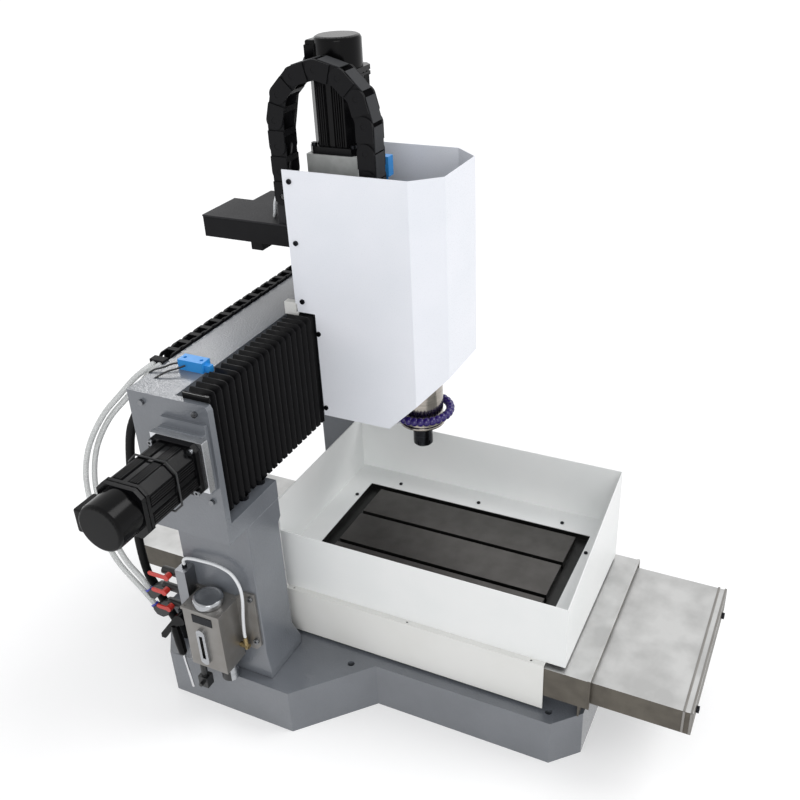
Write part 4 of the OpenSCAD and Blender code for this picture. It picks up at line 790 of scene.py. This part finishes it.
# %% [markdown]
# ## Connector housings and hose collars
# Each motor's end cap carries a housing on its side, where the cable goes in. Each hose is held
# in its elbow by a blue push-in collar, a short ring that leans with the elbow.

# %% Connector housings
HOUSING_BREAK = 3.0
for name, low, high, body in (
    ("x_cap_housing", (-549, 190, 584), (-506, 214, 624), "frame"),
    ("z_cap_housing", (60, 122, 1106), (88, 147, 1147), "carriage"),
):
    mesh = bmesh.new()
    add_block(mesh, low, high, HOUSING_BREAK)
    finish_piece(name, mesh, [cap_plastic], body)

# %% Hose collars
COLLAR_RADIUS, COLLAR_LENGTH, COLLAR_BREAK, COLLAR_SIDES = 7.6, 3.2, 0.6, 28
mesh = bmesh.new()
for base, lean in (((-310, 357.9, 236.3), 30), ((-310, 351.7, 202.6), 38)):
    angle = math.radians(lean)
    way = (0, math.sin(angle), math.cos(angle))
    add_disc(mesh, base, way, COLLAR_RADIUS, COLLAR_LENGTH, COLLAR_BREAK, COLLAR_SIDES)
finish_piece("hose_collars", mesh, [collar_plastic], "frame")

# %% [markdown]
# ## Coolant ring
# The coolant hose is a string of hollow plastic balls that click into each other. It comes down
# beside the spindle and goes once round it.

# %% Coolant ring
RING_CENTRE, RING_RADIUS, BEAD = Vector((85, -25, 494)), 53, 8.2
BEADS, RISER_BEADS, RISER_TOP = 30, 8, 589.5 - BEAD
RISER_TURN = math.radians(141.4)
BEAD_SEGMENTS, BEAD_RINGS = 20, 12
mesh = bmesh.new()
spots = [
    RING_CENTRE + RING_RADIUS * Vector((math.cos(a), math.sin(a), 0))
    for a in (RISER_TURN + i * math.tau / BEADS for i in range(BEADS))
]
rise = (RISER_TOP - RING_CENTRE.z) / RISER_BEADS
spots += [spots[0] + Vector((0, 0, rise * (i + 1))) for i in range(RISER_BEADS)]
for spot in spots:
    bmesh.ops.create_uvsphere(
        mesh, u_segments=BEAD_SEGMENTS, v_segments=BEAD_RINGS, radius=BEAD * MM,
        matrix=Matrix.Translation(spot * MM),
    )
beads = finish_piece("coolant_beads", mesh, [bead_plastic], "head")
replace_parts(beads, "coolant_ring")

# %% [markdown]
# ## Plate, trip dog and tray screws
# A thin dark plate sits on the front of the tank. A white nylon dog on the carriage runs into the
# limit switch. Button-headed screws hold the tray down to the table.

# %% Plate on the tank
PLATE_LOW, PLATE_HIGH = (-353.9, 184, 243), (-353.1, 226, 261)
mesh = bmesh.new()
add_block(mesh, PLATE_LOW, PLATE_HIGH, 0.2)
finish_piece("tank_plate", mesh, [black_steel], "frame")

# %% Trip dog of the limit switch
DOG_LOW, DOG_HIGH = (-18, 160, 698.3), (-4, 188, 722)
mesh = bmesh.new()
add_block(mesh, DOG_LOW, DOG_HIGH, 0.8)
finish_piece("trip_dog", mesh, [dog_plastic], "carriage")

# %% Screws in the tray floor
TRAY_FLOOR = 276.2
HEAD_RADIUS, HEAD_HEIGHT, HEAD_BREAK, HEAD_SIDES = 3.6, 2.2, 0.4, 24
UP = (0, 0, 1)
mesh = bmesh.new()
for x, y in ((122.5, 48), (122.5, -123), (122.5, -294), (53, -360.5), (56, 114.5)):
    add_disc(mesh, (x, y, TRAY_FLOOR), UP, HEAD_RADIUS, HEAD_HEIGHT, HEAD_BREAK, HEAD_SIDES)
finish_piece("tray_screws", mesh, [black_steel], "table")

# %% [markdown]
# ## Wires
# The limit switch has two thin black wires that run back over the beam. Four round white cables
# come out of the head's cable chain and dive into the cable box through its lid, and the Z
# motor's black cable runs down inside the chain's bow.

# %% Wires
SWITCH_WIRE, WHITE_CABLE, MOTOR_CABLE = 3, 4.5, 7
FRONT_WIRE = [(-258, 225, 704), (-268, 232, 703), (-282, 246, 700), (-300, 262, 690), (-316, 276, 668)]
REAR_WIRE = [
    (-250, 244, 702), (-258, 252, 702), (-268, 262, 699), (-276, 272, 697.5), (-284, 279, 694)
]
Z_MOTOR_ROUTE = [
    (70, 152, 1118), (62, 158, 1098), (54, 164, 1070), (44, 166, 1036), (34, 168, 1000),
    (24, 171, 965), (16, 174, 935), (14, 175, 905),
]
lay_cord("switch_wire_front", FRONT_WIRE, SWITCH_WIRE, wire_black, "frame")
for i, (x, bow) in enumerate(((2, 0), (10, 4), (18, 8), (26, 12))):
    route = [
        (x, 176, 925), (x + 2, 190, 912), (x + 6, 201 + bow / 2, 893), (x + 12, 208 + bow, 872),
        (x + 18, 214 + bow, 862.5),
    ]
    lay_cord(f"ribbon_cable_{i}", route, WHITE_CABLE, wire_white, "carriage")
lay_cord("z_motor_cable", Z_MOTOR_ROUTE, MOTOR_CABLE, wire_black, "carriage")
lay_cord("switch_wire_rear", REAR_WIRE, SWITCH_WIRE, wire_black, "frame")

# %% [markdown]
# ## Lips of the front covers
# Each sheet of the front cover has its edge rolled into two narrow beads that run up one side,
# over the top and down the other.


# %% Cover lips
COVER_FOOT, LIP, LIP_BITE = 139, 1.6, 0.4


def make_lips(name, half, top, beads, edge, body):
    """Beads that stand proud of a cover's sides and top, each between two places along Y."""
    mesh = bmesh.new()
    for y0, y1 in beads:
        for low, high in (
            ((-half - LIP, y0, COVER_FOOT), (-half + LIP_BITE, y1, top + LIP)),
            ((half - LIP_BITE, y0, COVER_FOOT), (half + LIP, y1, top + LIP)),
            ((-half - LIP, y0, top - LIP_BITE), (half + LIP, y1, top + LIP)),
        ):
            add_block(mesh, low, high, edge)
    finish_piece(name, mesh, [tank_steel], body)


FRONT_BEADS = ((-602.5, -598.5), (-590.5, -586.5))
MIDDLE_BEADS = ((-435.6, -432.6), (-430.6, -427.6))
make_lips("front_cover_lips", 160, 185.5, FRONT_BEADS, 0.7, "frame")
make_lips("middle_cover_lips", 165.2, 190.7, MIDDLE_BEADS, 0.6, "front_cover")

# %% [markdown]
# ## Floor and light
# The photograph is cut out on white. So the camera, mirrors and glass see a white world, while
# the light that falls on the machine comes from a pale sky, a soft sun over the operator's right
# shoulder and a window behind the beam, which puts specks of light on the rippled enamel. The
# floor is matt paper that glows a little for the eye, so that it is white where it is lit and
# still holds the machine's shadow.

# %% Floor
FLOOR_HALF = 60
mesh = bmesh.new()
bmesh.ops.create_grid(mesh, x_segments=1, y_segments=1, size=FLOOR_HALF)
data = bpy.data.meshes.new("floor")
mesh.to_mesh(data)
mesh.free()
floor = bpy.data.objects.new("floor", data)
bpy.context.scene.collection.objects.link(floor)


def seen_directly(tree):
    """One for rays from the camera, from mirrors and through glass, else nothing."""
    path = add_node(tree, "ShaderNodeLightPath")
    total = path.outputs["Is Camera Ray"]
    for ray in ("Is Glossy Ray", "Is Transmission Ray"):
        link = [(total, 0), (path.outputs[ray], 1)]
        total = add_node(tree, "ShaderNodeMath", link, operation="MAXIMUM").outputs[0]
    return total


floor_paper = bpy.data.materials.new("matt_paper_floor")
floor_paper.use_nodes = True
tree = floor_paper.node_tree
tree.nodes.clear()
paper = add_node(tree, "ShaderNodeBsdfDiffuse", Color=linear("#d6d6d6"))
link = [(seen_directly(tree), "Strength")]
glow = add_node(tree, "ShaderNodeEmission", link, Color=linear("#a4a4a4"))
both = add_node(tree, "ShaderNodeAddShader", [(paper.outputs[0], 0), (glow.outputs[0], 1)])
add_node(tree, "ShaderNodeOutputMaterial", [(both.outputs[0], "Surface")])
data.materials.append(floor_paper)
print("floor:", 2 * FLOOR_HALF, "m wide")

# %% World
SKY_COLOUR, SKY_STRENGTH = (0.98, 0.985, 1, 1), 0.8
world = bpy.data.worlds.new("studio")
bpy.context.scene.world = world
world.use_nodes = True
tree = world.node_tree
tree.nodes.clear()
white = add_node(tree, "ShaderNodeBackground", Color=(1, 1, 1, 1), Strength=1.0)
sky = add_node(tree, "ShaderNodeBackground", Color=SKY_COLOUR, Strength=SKY_STRENGTH)
mixed = add_node(
    tree, "ShaderNodeMixShader",
    [(seen_directly(tree), 0), (sky.outputs[0], 1), (white.outputs[0], 2)],
)
add_node(tree, "ShaderNodeOutputWorld", [(mixed.outputs[0], "Surface")])
print("world:", world.name)


# %% Lamps
def add_lamp(kind, name, place, target, power, **settings):
    """A soft lamp that looks from its place at the target."""
    lamp = bpy.data.lights.new(name, kind)
    lamp.energy = power
    for setting, value in settings.items():
        setattr(lamp, setting, value)
    held = bpy.data.objects.new(name, lamp)
    held.location = place
    held.rotation_euler = (Vector(target) - Vector(place)).to_track_quat("-Z", "Y").to_euler()
    bpy.context.scene.collection.objects.link(held)
    print("lamp:", name)


MIDDLE = (0, 0, 0.5)
add_lamp("SUN", "soft_sun", (1.5, -2.0, 3.5), MIDDLE, 1.15, angle=math.radians(32))
add_lamp("AREA", "window", (0.98, 1.38, 1.62), (-0.3, 0.2, 0.69), 1.5, size=0.25)
add_lamp("AREA", "operator_side", (-2.6, -1.2, 1.7), MIDDLE, 22, size=1.4)
bpy.context.scene.view_settings.view_transform = "Standard"
